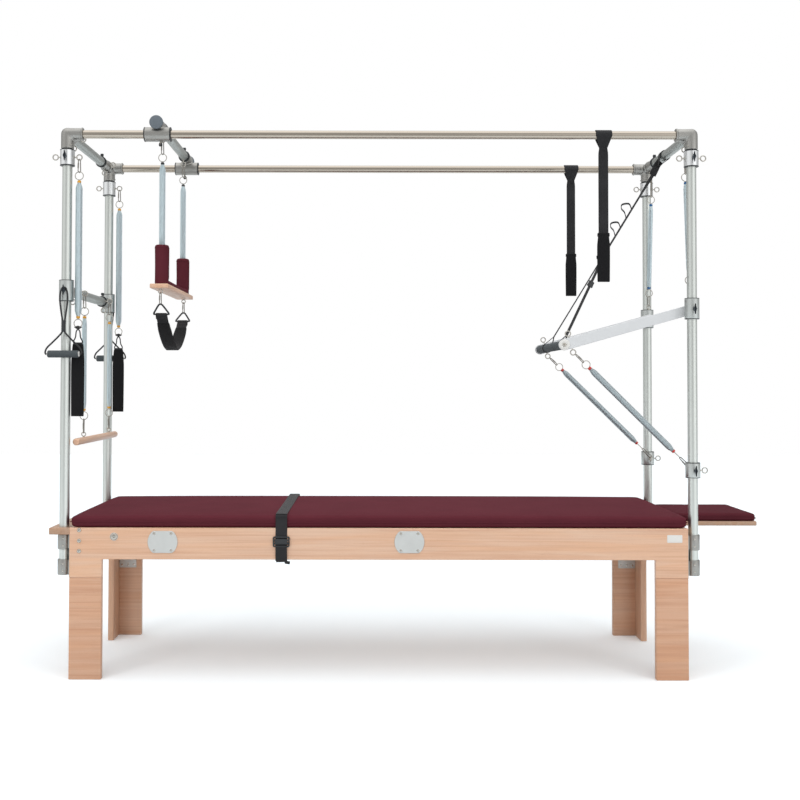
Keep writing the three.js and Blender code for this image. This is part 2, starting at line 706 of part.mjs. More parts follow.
// A handle: one cord over the lock knob's stem, bound below it, that spreads to the ends of a foam grip.
function handlePiece({ name, sy }) {
  const y = sy * (postY + collarRadius + knob.stand / 2);
  const at = (x, drop) => vector(-postX + x, y, sliderHeight - drop);
  const halfGrip = handle.gripLength / 2;
  const left = [
    at(-halfGrip - handle.cap, handle.drop),
    at(-halfGrip - handle.cap - handle.elbow, handle.drop - handle.elbow),
    at(-halfGrip, handle.drop - handle.grip - handle.elbow),
    at(-handle.splitX, handle.splitDrop),
    at(-handle.strand, handle.joinBottom),
    at(-handle.strand, handle.joinTop),
    at(-handle.bulge, handle.bulgeDrop),
    at(-handle.bulge, handle.bulge),
  ];
  const arch = [];
  const archRadius = knob.stem + gap + handle.cord;
  for (let i = 0; i <= sides.bend; i += 1) {
    const angle = Math.PI - (i / sides.bend) * Math.PI;
    arch.push(at(Math.cos(angle) * archRadius, -Math.sin(angle) * archRadius));
  }
  const right = left.map((point) => vector(-2 * postX - point.x, point.y, point.z)).reverse();
  const inner = handle.grip - handle.cap;
  const gripProfile = [
    [0, 0],
    [inner, 0],
    [inner, handle.cap],
    [handle.grip, handle.cap],
    [handle.grip, handle.gripLength - handle.cap],
    [inner, handle.gripLength - handle.cap],
    [inner, handle.gripLength],
    [0, handle.gripLength],
  ];
  const geometry = join(
    closedWire([...left, ...arch, ...right], alongY, handle.cord, sides.cord),
    laid(turned(gripProfile), at(-halfGrip, handle.drop), at(halfGrip, handle.drop)),
    rod(at(0, handle.joinTop), at(0, handle.joinBottom), handle.wrap, sides.winding),
  );
  return mesh(`handle_${name}`, 'foam', geometry);
}

// The roll-down bar and the springs that it hangs on.
const rollEye = (sy) => eyeCentre(vector(-postX + slider.outer / 2, sy * slider.eyeY, sliderHeight), alongX);
const rollTip = (sy) => moved(rollEye(sy), down, spring.tipDrop + rollSpring.length);
const dowelEye = (sy) => moved(rollTip(sy), down, spring.tipDrop + smallEye.wire);

function rollSpringPiece({ name, sy }) {
  const start = rollEye(sy);
  const tip = rollTip(sy);
  const lower = dowelEye(sy);
  const ringAt = lower.distanceTo(tip) - spring.tipDrop + spring.ringDrop;
  const geometry = join(
    upperLink(start, down, alongX, spring.ringDrop, spring.tipDrop),
    winding(moved(start, down, spring.tipDrop), tip, rollSpring.radius),
    lowerRing(tip, down),
    snapHook(lower, up, alongX, ringAt - spring.ringRadius, smallEye),
  );
  return mesh(`roll_down_spring_${name}`, 'zinc', geometry);
}

function rollDownBar() {
  const eyeAt = dowelEye(1);
  const axis = eyeAt.z - smallEye.radius - smallEye.shank - dowel.radius;
  const half = dowel.length / 2;
  const profile = [
    [0, 0],
    [dowel.radius - dowel.round, 0],
    [dowel.radius, dowel.round],
    [dowel.radius, dowel.length - dowel.round],
    [dowel.radius - dowel.round, dowel.length],
    [0, dowel.length],
  ];
  const geometry = join(
    laid(turned(profile), vector(eyeAt.x, -half, axis), vector(eyeAt.x, half, axis)),
    [-1, 1].map((sy) => eye(vector(eyeAt.x, sy * slider.eyeY, axis + dowel.radius), up, alongY, smallEye)),
  );
  return mesh('roll_down_bar', 'beech', geometry);
}

// The carriage: a sleeve on each top bar, a casting over it, and the tube between the castings.
const carriageZ = top.height + carriage.rise;
const carriageEyeZ = carriageZ - carriage.casting / 2 + carriage.crossWall;
const carriageEyeBase = (sy) => vector(carriage.x, sy * carriage.eyeY, carriageEyeZ);
const carriageEye = (sy) => eyeCentre(carriageEyeBase(sy), down);

function carriagePiece() {
  const x = carriage.x;
  const parts = [];
  const holes = [];
  const end = postY + carriage.casting / 2 + carriage.overhang;
  for (const sy of [-1, 1]) {
    const y = sy * postY;
    const half = carriage.sleeve / 2;
    const [low, high] = [vector(x - half, y, top.height), vector(x + half, y, top.height)];
    parts.push(rod(low, high, carriage.outer / 2, sides.tube));
    const inner = sy * (postY + carriage.casting / 2 - carriage.castingLength);
    const outer = sy * (postY + carriage.casting / 2);
    const casting = [vector(x, inner, carriageZ), vector(x, outer, carriageZ)];
    parts.push(rod(casting[0], casting[1], carriage.casting / 2, sides.tube));
    const disc = vector(x, sy * (end + carriage.discThickness), carriageZ);
    parts.push(rod(vector(x, sy * end, carriageZ), disc, carriage.disc / 2, sides.tube));
    parts.push(...screw(vector(x, y, top.height - carriage.outer / 2), down));
    parts.push(...eye(carriageEyeBase(sy), down, alongY));
    const bore = top.barOuter / 2 + carriage.clearance;
    const [from, to] = [vector(x - half - overrun, y, top.height), vector(x + half + overrun, y, top.height)];
    holes.push(rod(from, to, bore, sides.tube));
  }
  const [front, rear] = [vector(x, -end - embed, carriageZ), vector(x, end + embed, carriageZ)];
  parts.push(rod(front, rear, carriage.cross / 2, sides.tube));
  return mesh('carriage', 'casting', cut(join(parts), holes));
}

function trapezeSpringPiece({ name, sy }) {
  const start = carriageEye(sy);
  const foot = vector(start.x, start.y, trapezeTop + gap);
  const geometry = join(
    upperLink(start, down, alongX, spring.ringDrop, spring.tipDrop),
    winding(moved(start, down, spring.tipDrop), foot, trapezeSpring.radius),
  );
  return mesh(`trapeze_spring_${name}`, 'zinc', geometry);
}

function trapezeBoard() {
  const half = { x: trapeze.width / 2, y: trapeze.length / 2 };
  const bottom = trapezeTop - trapeze.thickness;
  const r = trapeze.round;
  const outline = [
    [-half.x + r, bottom],
    [half.x - r, bottom],
    [half.x, bottom + r],
    [half.x, trapezeTop - r],
    [half.x - r, trapezeTop],
    [-half.x + r, trapezeTop],
    [-half.x, trapezeTop - r],
    [-half.x, bottom + r],
  ];
  const board = slab(outline, alongY, trapeze.length, vector(carriage.x, 0, 0));
  const eyeBases = [-1, 1].map((sy) => vector(carriage.x, sy * trapeze.eyeY, bottom));
  const eyes = eyeBases.map((base) => eye(base, down, alongY, smallEye));
  return mesh('trapeze_board', 'beech', join(board, eyes));
}

// The burgundy cover: a padded strip on the board with a sleeve round each spring.
function trapezePad() {
  const low = trapezeTop + gap;
  const high = low + pad.height;
  const half = pad.stripWidth / 2;
  const stripTop = low + pad.strip;
  const outline = [
    [-half, low],
    [half, low],
    [half, stripTop - pad.round],
    [half - pad.round, stripTop],
    [-half + pad.round, stripTop],
    [-half, stripTop - pad.round],
  ];
  const parts = [slab(outline, alongY, 2 * carriage.eyeY, vector(carriage.x, 0, 0))];
  const holes = [];
  for (const sy of [-1, 1]) {
    const [x, y] = [carriage.x, sy * carriage.eyeY];
    const profile = [
      [0, 0],
      [pad.outer / 2 - embed, 0],
      [pad.outer / 2, pad.height / 2],
      [pad.outer / 2 - embed, pad.height - pad.round],
      [pad.outer / 2 - pad.round, pad.height],
      [0, pad.height],
    ];
    parts.push(laid(turned(profile), vector(x, y, low), vector(x, y, high)));
    holes.push(rod(vector(x, y, low - overrun), vector(x, y, high + overrun), pad.bore / 2, sides.winding));
  }
  return mesh('trapeze_pad', 'vinyl', cut(join(parts), holes));
}

// The sling: a hook, a three-cornered ring at each end, and a strap that hangs between them.
function slingPiece() {
  const x = carriage.x;
  const parts = [];
  const bottom = trapezeTop - trapeze.thickness;
  const endY = trapeze.eyeY - sling.tilt;
  let endZ = 0;
  for (const sy of [-1, 1]) {
    const eyeAt = eyeCentre(vector(x, sy * trapeze.eyeY, bottom), down, smallEye);
    parts.push(snapHook(eyeAt, down, alongX, sling.apexDrop, smallEye));
    const apex = moved(eyeAt, down, sling.apexDrop);
    const base = vector(x, sy * endY, apex.z - sling.base);
    endZ = base.z;
    const side = (sx) => vector(x + sx * sling.halfWidth, base.y, base.z);
    const shoulder = (sx, share) => apex.clone().lerp(side(sx), share).add(vector(sx * sling.wire, 0, 0));
    const shoulderShares = [0.1, 0.7];
    const path = [
      shoulder(-1, shoulderShares[1]),
      shoulder(-1, shoulderShares[0]),
      shoulder(1, shoulderShares[0]),
      shoulder(1, shoulderShares[1]),
      side(1),
      side(-1),
    ];
    const normal = base.clone().sub(apex).normalize().cross(alongX);
    parts.push(closedWire(path, normal, sling.wire));
  }
  const point = (i, out) => {
    const t = (i / sling.steps) * 2 - 1;
    const slope = (2 * t * sling.depth) / endY;
    const scale = out / Math.hypot(1, slope);
    return [t * endY + slope * scale, endZ - sling.depth + sling.depth * t * t - scale];
  };
  const steps = [...Array(sling.steps + 1).keys()];
  const outline = steps.map((i) => point(i, sling.thickness / 2));
  outline.push(...steps.reverse().map((i) => point(i, -sling.thickness / 2)));
  parts.push(slab(outline, alongX, sling.strap, vector(x, 0, 0)));
  return mesh('sling', 'webbing', join(parts));
}

// The push bar: two flat arms that turn on the pivot collars, the tube between them and its eyebolts.
const pivot = vector(postX, 0, pivotHeight);
const barAxis = vector(postX - push.reachX, 0, pivotHeight - push.dropZ);
const armDirection = pivot.clone().sub(barAxis).normalize();
const armUp = vector(-armDirection.z, 0, armDirection.x);
const armY = postY - collarRadius - push.washer - push.armThickness / 2;
const armEyeStand = push.armHeight / 2 + eyebolt.shank + eyebolt.radius - eyebolt.wire;

const pushEye = (sy, side) => {
  const along = moved(vector(barAxis.x, sy * armY, barAxis.z), armDirection, push.eyeAlong);
  return moved(along, armUp, side * armEyeStand);
};

function pushBar() {
  const parts = [];
  const holes = [];
  const half = push.armHeight / 2;
  for (const sy of [-1, 1]) {
    const outline = [];
    for (const [centre, start, radius] of [[pivot, 0, half], [barAxis, Math.PI, push.disc]]) {
      for (let i = 0; i <= sides.bend; i += 1) {
        const angle = start - Math.PI / 2 + (i / sides.bend) * Math.PI;
        const at = moved(centre, armDirection, Math.cos(angle) * radius);
        at.addScaledVector(armUp, Math.sin(angle) * radius);
        outline.push([at.x, at.z]);
      }
    }
    parts.push(slab(outline, alongY, push.armThickness, vector(0, sy * armY, 0)));
    const hole = [-1, 1].map((end) => vector(pivot.x, sy * armY + end * push.armThickness, pivot.z));
    holes.push(rod(hole[0], hole[1], push.pin + push.pinClearance, sides.tube));
    for (const side of [-1, 1]) {
      const out = armUp.clone().multiplyScalar(side);
      const base = moved(pushEye(sy, side), out, -eyebolt.shank - eyebolt.radius);
      parts.push(...eye(base, out, alongY));
    }
  }
  const [front, rear] = [vector(barAxis.x, -armY, barAxis.z), vector(barAxis.x, armY, barAxis.z)];
  parts.push(rod(front, rear, push.tube, sides.tube));
  return mesh('push_bar', 'powder', cut(join(parts), holes));
}

function pushGrip() {
  const radius = grip.outer / 2;
  const half = Math.min(grip.length / 2, armY - push.armThickness / 2 - gap);
  const bore = push.tube + grip.clearance;
  const profile = [
    [bore, 0],
    [radius - grip.round, 0],
    [radius, grip.round],
    [radius, 2 * half - grip.round],
    [radius - grip.round, 2 * half],
    [bore, 2 * half],
    [bore, 0],
  ];
  const [front, rear] = [vector(barAxis.x, -half, barAxis.z), vector(barAxis.x, half, barAxis.z)];
  return mesh('push_grip', 'foam', laid(turned(profile), front, rear));
}

// A collar on a right post that carries the pin of one arm and the eye of a counter spring.
const counterFootY = postY - collarRadius + smallEye.wire + gap;
const pivotCollarTop = pivotHeight - pivotCollar.below + pivotCollar.height;
const counterFoot = (sy) => eyeCentre(vector(postX, sy * counterFootY, pivotCollarTop), up, smallEye);

function pivotCollarPiece({ name, sy }) {
  const y = sy * postY;
  const bottom = pivotHeight - pivotCollar.below;
  const inward = vector(0, -sy, 0);
  const face = vector(postX, sy * (postY - collarRadius), pivotHeight);
  const washerEnd = moved(face, inward, push.washer - gap);
  const pinEnd = moved(face, inward, push.washer + push.armThickness + gap);
  const body = join(
    rod(vector(postX, y, bottom), vector(postX, y, pivotCollarTop), collarRadius, sides.tube),
    rod(moved(face, inward, -push.washer), washerEnd, push.washerRadius, sides.tube),
    rod(moved(face, inward, -push.washer), moved(pinEnd, inward, embed), push.pin, sides.tube),
    rod(pinEnd, moved(pinEnd, inward, push.headThickness), push.head, sides.rod),
    lockKnob(postX, y + sy * collarRadius, pivotHeight),
    eye(vector(postX, sy * counterFootY, pivotCollarTop), up, alongY, smallEye),
  );
  const [from, to] = [vector(postX, y, bottom - overrun), vector(postX, y, pivotCollarTop + overrun)];
  const hole = rod(from, to, postRadius + post.clearance, sides.tube);
  return mesh(`pivot_collar_${name}`, 'anodised', cut(body, hole));
}

// A collar lower on the post with an eye outside and one inside that anchors a push spring.
const anchorBase = (sy) => vector(postX, sy * (postY - collarRadius), anchorCollar.eyeHeight);
const anchorEye = (sy) => eyeCentre(anchorBase(sy), vector(0, -sy, 0));
const anchorWire = (sy) => moved(anchorEye(sy), up, eyebolt.radius);

function anchorCollarPiece({ name, sy }) {
  const y = sy * postY;
  const topZ = anchorCollar.bottom + anchorCollar.height;
  const body = join(
    rod(vector(postX, y, anchorCollar.bottom), vector(postX, y, topZ), collarRadius, sides.tube),
    eye(vector(postX + collarRadius, y, anchorCollar.eyeHeight), alongX, alongY),
    eye(anchorBase(sy), vector(0, -sy, 0), alongX),
    lockKnob(postX, y + sy * collarRadius, anchorCollar.eyeHeight),
  );
  const [from, to] = [vector(postX, y, anchorCollar.bottom - overrun), vector(postX, y, topZ + overrun)];
  const hole = rod(from, to, postRadius + post.clearance, sides.tube);
  return mesh(`anchor_collar_${name}`, 'anodised', cut(body, hole));
}

// A counter spring between an eyebolt of the right crossbar and the eye of a pivot collar.
function counterSpringPiece({ name, sy }) {
  const start = eyeCentre(vector(postX, sy * crossEyeY, top.height - top.crossOuter / 2), down);
  const end = counterFoot(sy);
  const direction = end.clone().sub(start).normalize();
  const back = direction.clone().negate();
  const ringLift = spring.tipDrop - spring.ringDrop;
  const tipStart = moved(start, direction, counterSpring.start);
  const tip = moved(end, back, counterSpring.finish);
  const lowerRingAt = end.distanceTo(tip) - ringLift;
  const geometry = join(
    upperLink(start, direction, alongX, counterSpring.start - ringLift, counterSpring.start),
    winding(tipStart, tip, counterSpring.radius),
    lowerRing(tip, direction),
    snapHook(end, back, alongX, lowerRingAt - spring.ringRadius, smallEye),
  );
  return mesh(`counter_spring_${name}`, 'zinc', geometry);
}

// The line of a push spring, from the wire of its anchor's eye to the lower eyebolt of the arm.
function pushLine(sy) {
  const start = anchorWire(sy);
  const end = pushEye(sy, -1);
  return { start, end, direction: end.clone().sub(start).normalize(), length: end.distanceTo(start) };
}

const pushEndDrop = spring.ringDrop + spring.ringRadius + spring.wire + gap;

// The wire of a wound spring: rings of points along a helix that narrows at both ends.
function curledWire(from, to, radius, { wire, curls, stepsPerCurl, wireSides }) {
  const length = from.distanceTo(to);
  const steps = curls * stepsPerCurl;
  const lead = 2 * wire;
  const centre = (i) => {
    const share = Math.min(Math.max(i, 0), steps) / steps;
    const angle = share * curls * Math.PI * 2;
    const along = lead + share * (length - 2 * lead);
    const taper = Math.min(along, length - along, spring.taper) / spring.taper;
    const out = spring.plugRadius - wire + taper * (radius - spring.plugRadius);
    const z = i < 0 ? 0 : along;
    return vector(Math.cos(angle) * out, Math.sin(angle) * out, i > steps ? length : z);
  };
  const points = [...Array(steps + 3).keys()].map((k) => centre(k - 1));
  const positions = [];
  const index = [];
  points.forEach((point, i) => {
    const before = points[Math.max(i - 1, 0)];
    const after = points[Math.min(i + 1, points.length - 1)];
    const tangent = after.clone().sub(before).normalize();
    const outwards = vector(point.x, point.y, 0).normalize();
    const across = outwards.addScaledVector(tangent, -outwards.dot(tangent)).normalize();
    const other = tangent.clone().cross(across);
    for (let k = 0; k < wireSides; k += 1) {
      const angle = (k / wireSides) * Math.PI * 2;
      const side = moved(point, across, Math.cos(angle) * wire);
      positions.push(...moved(side, other, Math.sin(angle) * wire).toArray());
      if (i === points.length - 1) continue;
      const next = (k + 1) % wireSides;
      const [here, there] = [i * wireSides, (i + 1) * wireSides];
      index.push(here + k, here + next, there + k, here + next, there + next, there + k);
    }
  });
  for (const end of [0, points.length - 1]) {
    for (let k = 1; k < wireSides - 1; k += 1) {
      const fan = [end * wireSides, end * wireSides + k, end * wireSides + k + 1];
      index.push(...(end ? fan : fan.reverse()));
    }
  }
  const geometry = new THREE.BufferGeometry();
  geometry.setAttribute('position', new THREE.BufferAttribute(new Float32Array(positions), 3));
  geometry.setIndex(index);
  return { geometry: laid(outward(geometry), from, to), least: leastGap(points, stepsPerCurl, wire) };
}

// The least distance between points at least half a curl apart, less the wire's own thickness.
function leastGap(points, stepsPerCurl, wire) {
  let least = Infinity;
  points.forEach((point, i) => {
    for (let k = i + stepsPerCurl / 2; k < Math.min(i + 2 * stepsPerCurl, points.length); k += 1) {
      least = Math.min(least, point.distanceTo(points[k]));
    }
  });
  return least - 2 * wire;
}

// A push spring: the hook in its anchor's eye, a plug, the wound wire and the plug at the upper end.
function pushSpringPiece({ name, sy }) {
  const { start, direction, length } = pushLine(sy);
  const tip = moved(start, direction, pushSpring.start);
  const far = moved(start, direction, length - pushEndDrop);
  const lowerPlug = moved(tip, direction, spring.plug);
  const upperPlug = moved(far, direction, -spring.plug);
  const coil = curledWire(
    moved(lowerPlug, direction, -embed),
    moved(upperPlug, direction, embed),
    pushSpring.radius,
    pushSpring,
  );
  console.log(`push_spring_${name}: least gap between curls ${coil.least.toFixed(2)} mm`);
  const geometry = join(
    closedWire(
      loopPath(start, moved(tip, direction, -eyebolt.hookHalf), alongY, eyebolt.hookHalf),
      alongY,
      hookWire,
    ),
    rod(moved(tip, direction, -hookWire), lowerPlug, spring.plugRadius, sides.ring),
    rod(upperPlug, far, spring.plugRadius, sides.ring),
    coil.geometry,
  );
  return mesh(`push_spring_${name}`, 'zinc', geometry);
}

// The ring and snap hook that tie a push spring to the lower eyebolt of the arm.
function pushHookPiece({ name, sy }) {
  const { end, direction } = pushLine(sy);
  const back = direction.clone().negate();
  const hookStart = eyebolt.radius + eyebolt.wire + gap + hookWire + eyebolt.hookHalf;
  const hookEnd = hookEndAt(spring.ringDrop - spring.ringRadius, eyebolt.hookHalf);
  const normal = direction.clone().cross(alongY).normalize();
  const path = loopPath(moved(end, back, hookStart), moved(end, back, hookEnd), normal, eyebolt.hookHalf);
  const ringAt = moved(end, back, spring.ringDrop);
  const link = ring(ringAt, alongY, spring.ringRadius, spring.wire);
  return mesh(`push_hook_${name}`, 'stainless', join(closedWire(path, normal, hookWire), link));
}

// The outline of a strap that goes round a bar at the origin and closes at a neck below it.
function chokedOutline(radius, reach, wide) {
  const spread = Math.PI - Math.acos(radius / reach);
  const points = [];
  for (let i = 0; i <= sides.choke; i += 1) {
    const angle = spread * ((2 * i) / sides.choke - 1);
    points.push([Math.sin(angle) * radius, Math.cos(angle) * radius]);
  }
  points.push([wide / 2, -reach], [-wide / 2, -reach]);
  return points;
}

// A strap choked round a bar: its outline turned so that its neck points away from the bar along a direction.
function choke(centre, direction, normal, radius, reach, width, { layer, clearance }) {
  const across = normal.clone().cross(direction);
  const flat = (outline) => outline.map(([a, b]) => {
    const point = moved(moved(centre, across, a), direction, -b);
    return normal === alongY ? [point.x, point.z] : [point.y, point.z];
  });
  const place = vector(normal.x * centre.x, normal.y * centre.y, 0);
  const inner = radius + clearance;
  const outer = slab(flat(chokedOutline(inner + layer, reach, 2 * layer)), normal, width, place);
  const hole = flat(chokedOutline(inner, reach - layer * 4, layer / 4));
  return cut(outer, slab(hole, normal, width + overrun, place));
}

// The safety strap: a loop round the right crossbar, a loop round the push bar's grip, and the strap between.
function safetyStrap() {
  const one = vector(postX, strap.y, top.height);
  const other = vector(barAxis.x, strap.y, barAxis.z);
  const direction = other.clone().sub(one).normalize();
  const back = direction.clone().negate();
  const across = vector(-direction.z, 0, direction.x);
  const ends = [moved(one, direction, strap.neck - embed), moved(other, back, strap.neck - embed)];
  const outline = [
    moved(ends[0], across, strap.layer),
    moved(ends[0], across, -strap.layer),
    moved(ends[1], across, -strap.layer),
    moved(ends[1], across, strap.layer),
  ].map((point) => [point.x, point.z]);
  const geometry = join(
    choke(one, direction, alongY, top.crossOuter / 2, strap.neck, strap.width, strap),
    slab(outline, alongY, strap.width, vector(0, strap.y, 0)),
    choke(other, back, alongY, grip.outer / 2, strap.neck, strap.width, strap),
  );
  return mesh('safety_strap', 'webbing', geometry);
}

// A loop of webbing choked on a top bar, with a padded band that hangs open at its lower end.
function barLoopPiece({ name, sy }) {
  const centre = vector(barLoop.x, sy * postY, top.height);
  const wrap = choke(centre, down, alongX, top.barOuter / 2, barLoop.neck, barLoop.wrapWidth, barLoop);
  const half = barLoop.width / 2;
  const bandTop = top.height - barLoop.middle;
  const neckLow = vector(centre.x - half, centre.y - barLoop.layer, bandTop - 2 * barLoop.layer);
  const neckHigh = vector(centre.x + half, centre.y + barLoop.layer, top.height - barLoop.neck + embed);
  const foot = vector(centre.x, centre.y, 0);
  const bandFoot = top.height - barLoop.bottom;
  const open = band(foot, bandTop, bandFoot, barLoop.width, barLoop.opening, barLoop.layer);
  return mesh(`bar_loop_${name}`, 'webbing', join(wrap, block(neckLow, neckHigh), open));
}

const assembly = new THREE.Group();
assembly.add(longRail('front_rail', -1), longRail('rear_rail', 1), leftEnd(), rightEnd(), deckPanel());
assembly.add(matPiece(), ...extensionPieces(), matBelt());
for (const place of cornerPlaces) {
  assembly.add(legPiece(place), socketPiece(place), postPiece(place), cornerPiece(place));
}
assembly.add(topCrossbar('top_crossbar_left', -1, [alongX, down]));
assembly.add(topCrossbar('top_crossbar_right', 1, [down]));
assembly.add(slidingCrossbar(), rollDownBar(), carriagePiece(), trapezeBoard(), trapezePad(), slingPiece());
assembly.add(pushBar(), pushGrip(), safetyStrap());
for (const place of depthPlaces) {
  assembly.add(topBar(place), armSpringPiece(place), ankleLoop(place), handlePiece(place));
  assembly.add(rollSpringPiece(place), trapezeSpringPiece(place), pivotCollarPiece(place));
  assembly.add(anchorCollarPiece(place), counterSpringPiece(place), pushSpringPiece(place));
  assembly.add(pushHookPiece(place), barLoopPiece(place));
}

// The whole object is moved so that the origin lies under the middle of its box.
const bounds = new THREE.Box3().setFromObject(assembly);
const middle = bounds.getCenter(vector(0, 0, 0));
assembly.position.set(-middle.x, -middle.y, -bounds.min.z);

const trapezeTable = new THREE.Group();
trapezeTable.add(assembly);

export default trapezeTable;
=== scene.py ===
"""A pilates trapeze table: the finished look of its wood, tubes, castings, springs and soft pieces.

Lengths are in millimetres until a piece is made. X runs along the table, Y to the back, Z up.
"""

import math

import bmesh
import bpy
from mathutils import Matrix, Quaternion, Vector


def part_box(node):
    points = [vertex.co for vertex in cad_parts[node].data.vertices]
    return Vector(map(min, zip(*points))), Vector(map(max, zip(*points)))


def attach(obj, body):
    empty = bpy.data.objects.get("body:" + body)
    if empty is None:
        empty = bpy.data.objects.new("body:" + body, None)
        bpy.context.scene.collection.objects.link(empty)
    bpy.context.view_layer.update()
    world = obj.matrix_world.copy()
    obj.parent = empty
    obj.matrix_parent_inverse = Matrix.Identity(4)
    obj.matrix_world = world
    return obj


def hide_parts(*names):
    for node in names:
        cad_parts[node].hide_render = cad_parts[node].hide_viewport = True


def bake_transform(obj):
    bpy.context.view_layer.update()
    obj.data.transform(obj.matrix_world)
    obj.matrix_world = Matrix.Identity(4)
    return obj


bl_info = {
    "name": "Pilates Trapeze Table",
    "version": (1, 0, 0),
    "blender": (4, 5, 0),
    "location": "3D View > Sidebar > Trapeze Table",
    "description": "Builds the wood, tubes, springs and soft pieces of a trapeze table over its frame",
    "category": "Object",
}

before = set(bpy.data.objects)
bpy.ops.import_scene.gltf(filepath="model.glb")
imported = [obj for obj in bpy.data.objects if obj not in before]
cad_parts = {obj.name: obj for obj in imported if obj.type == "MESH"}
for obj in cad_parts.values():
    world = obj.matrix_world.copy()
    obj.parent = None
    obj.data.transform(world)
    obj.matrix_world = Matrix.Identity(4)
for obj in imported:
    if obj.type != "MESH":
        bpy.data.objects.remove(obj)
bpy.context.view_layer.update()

MM = 0.001
X = Vector((1, 0, 0))
Y = Vector((0, 1, 0))
Z = Vector((0, 0, 1))
DEPTHS = {"front": -1, "rear": 1}
CORNERS = {"front_left": (-1, -1), "front_right": (1, -1), "rear_left": (-1, 1), "rear_right": (1, 1)}


# Places read from the frame


def box(node):
    lowest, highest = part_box(node)
    return lowest / MM, highest / MM


def middle(node):
    lowest, highest = box(node)
    return (lowest + highest) / 2


RAIL_LOW, RAIL_HIGH = box("front_rail")
TABLE_X = (RAIL_LOW.x + RAIL_HIGH.x) / 2
HALF_LENGTH = (RAIL_HIGH.x - RAIL_LOW.x) / 2
HALF_WIDTH = -RAIL_LOW.y
BOARD = RAIL_HIGH.y - RAIL_LOW.y
RAIL_TOP = RAIL_HIGH.z
RAIL_BOTTOM = box("end_rail_right")[0].z
POST_X = (box("post_front_right")[1].x + box("post_front_right")[0].x) / 2 - TABLE_X
POST_Y = -middle("post_front_left").y
POST_RADIUS = (box("post_front_left")[1].x - box("post_front_left")[0].x) / 2
TOP_Z = middle("top_bar_front").z
BAR_RADIUS = (box("top_bar_front")[1].z - box("top_bar_front")[0].z) / 2
CROSS_RADIUS = POST_RADIUS
CARRIAGE_X = middle("carriage").x
COLLAR_LOW = box("corner_fitting_front_left")[0].z

# Places and sizes of the CAD that no node's box gives
COLLAR_RADIUS = 28.5
COLLAR_BORE = 19.4
COLLAR_HIGH = TOP_Z - 62
COLLAR_EYE_Z = (COLLAR_LOW + COLLAR_HIGH) / 2 + 2.4
SLEEVE_RADIUS = 28.2
KNOB_FOOT = 28
CLAMP_RADIUS = 22.5
CLAMP_BORE = 18.5
SLIDER_Z = 1509
CROSS_EYE_Y = POST_Y - 85
ROLL_DOWN_EYE_Y = 200
DOWEL_RADIUS = 14
CARRIAGE_Z = TOP_Z + 41
CARRIAGE_EYE_DROP = 21
TRAPEZE_SPRING_Y = 230
TRAPEZE_BOARD = 18
SLING_EYE_Y = 255
PIVOT_Z = 1440
PIVOT = Vector((TABLE_X + POST_X, 0, PIVOT_Z))
PIVOT_SLEEVE = 83
PIVOT_EYE_Y = POST_Y - COLLAR_RADIUS + 2.3
ANCHOR_EYE_Z = 808
PUSH_BAR = Vector((TABLE_X + POST_X - 496, 0, PIVOT_Z - 139))
ARM_Y = 288.3
ARM_HALF = 20
ARM_EYE_REACH = 26
ARM_AHEAD = (PIVOT - PUSH_BAR).normalized()
ARM_ABOVE = Vector((-ARM_AHEAD.z, 0, ARM_AHEAD.x))

# Eyebolts: the ring's radius, its wire, the shank under it and half the width of the hook that it takes
EYEBOLT = {"radius": 10.5, "wire": 2.4, "shank": 8, "half": 6}
SMALL_EYE = {"radius": 8, "wire": 2, "shank": 3, "half": 4.8}
EYE_REACH = EYEBOLT["shank"] + EYEBOLT["radius"]
SMALL_EYE_REACH = SMALL_EYE["shank"] + SMALL_EYE["radius"]

# Springs: where the ring, the winding's end and its coloured tip lie below the eye that holds them
RING_DROP = 73
RING_RADIUS = 16
RING_WIRE = 1.7
TIP_DROP = 95
HOOK_WIRE = 1.9
HOOK_TWIST = math.radians(38)
PLUG_RADIUS = 6.5
TAPER = 30
COIL_WIRE = 1.35
COIL_RADII = {"arm": 13.5, "roll_down": 10, "trapeze": 12.5, "push": 12.5, "counter": 10}
WINDING_LENGTHS = {"arm": 539, "roll_down": 378}


def hex_colour(text):
    """An sRGB hex colour as linear red, green and blue."""
    shares = [int(text[i:i + 2], 16) / 255 for i in (0, 2, 4)]
    return [s / 12.92 if s <= 0.04045 else ((s + 0.055) / 1.055) ** 2.4 for s in shares]


def colour_choice(name, description, text):
    return bpy.props.FloatVectorProperty(
        name=name, description=description, default=hex_colour(text), subtype="COLOR", min=0, max=1
    )


def size_choice(name, description, millimetres):
    return bpy.props.FloatProperty(
        name=name, description=description, default=millimetres * MM, unit="LENGTH", min=0.0001
    )


class TrapezeTableColours(bpy.types.PropertyGroup):
    """The colours of the table's finishes."""

    beech: colour_choice("Beech", "Lacquered beech between its darker streaks", "E2BEA4")
    beech_streak: colour_choice("Beech streak", "The darker streaks of the beech", "C8977A")
    vinyl: colour_choice("Vinyl", "The cover of the mat, the extension and the trapeze", "5E2A33")
    webbing: colour_choice("Webbing", "The straps, loops and belt", "161618")
    foam: colour_choice("Foam", "The grips of the handles and the push bar", "4B5154")
    anodised: colour_choice("Anodised tube", "The posts and crossbars", "CFD3CF")
    casting: colour_choice("Casting", "The corner fittings, sockets and carriage", "A3A29E")
    stainless: colour_choice("Stainless tube", "The two long top bars", "B3AA9E")
    zinc: colour_choice("Zinc wire", "The windings of the springs", "D8E5E9")
    arm_tip: colour_choice("Arm spring tip", "The dipped tips of the arm and roll-down springs", "E0A12E")
    push_tip: colour_choice("Push spring tip", "The dipped tips of the push springs", "C5342C")
    counter_tip: colour_choice("Counter spring tip", "The dipped tips of the counter springs", "1F5E94")
    floor: colour_choice("Floor", "The studio floor", "F4F9FC")


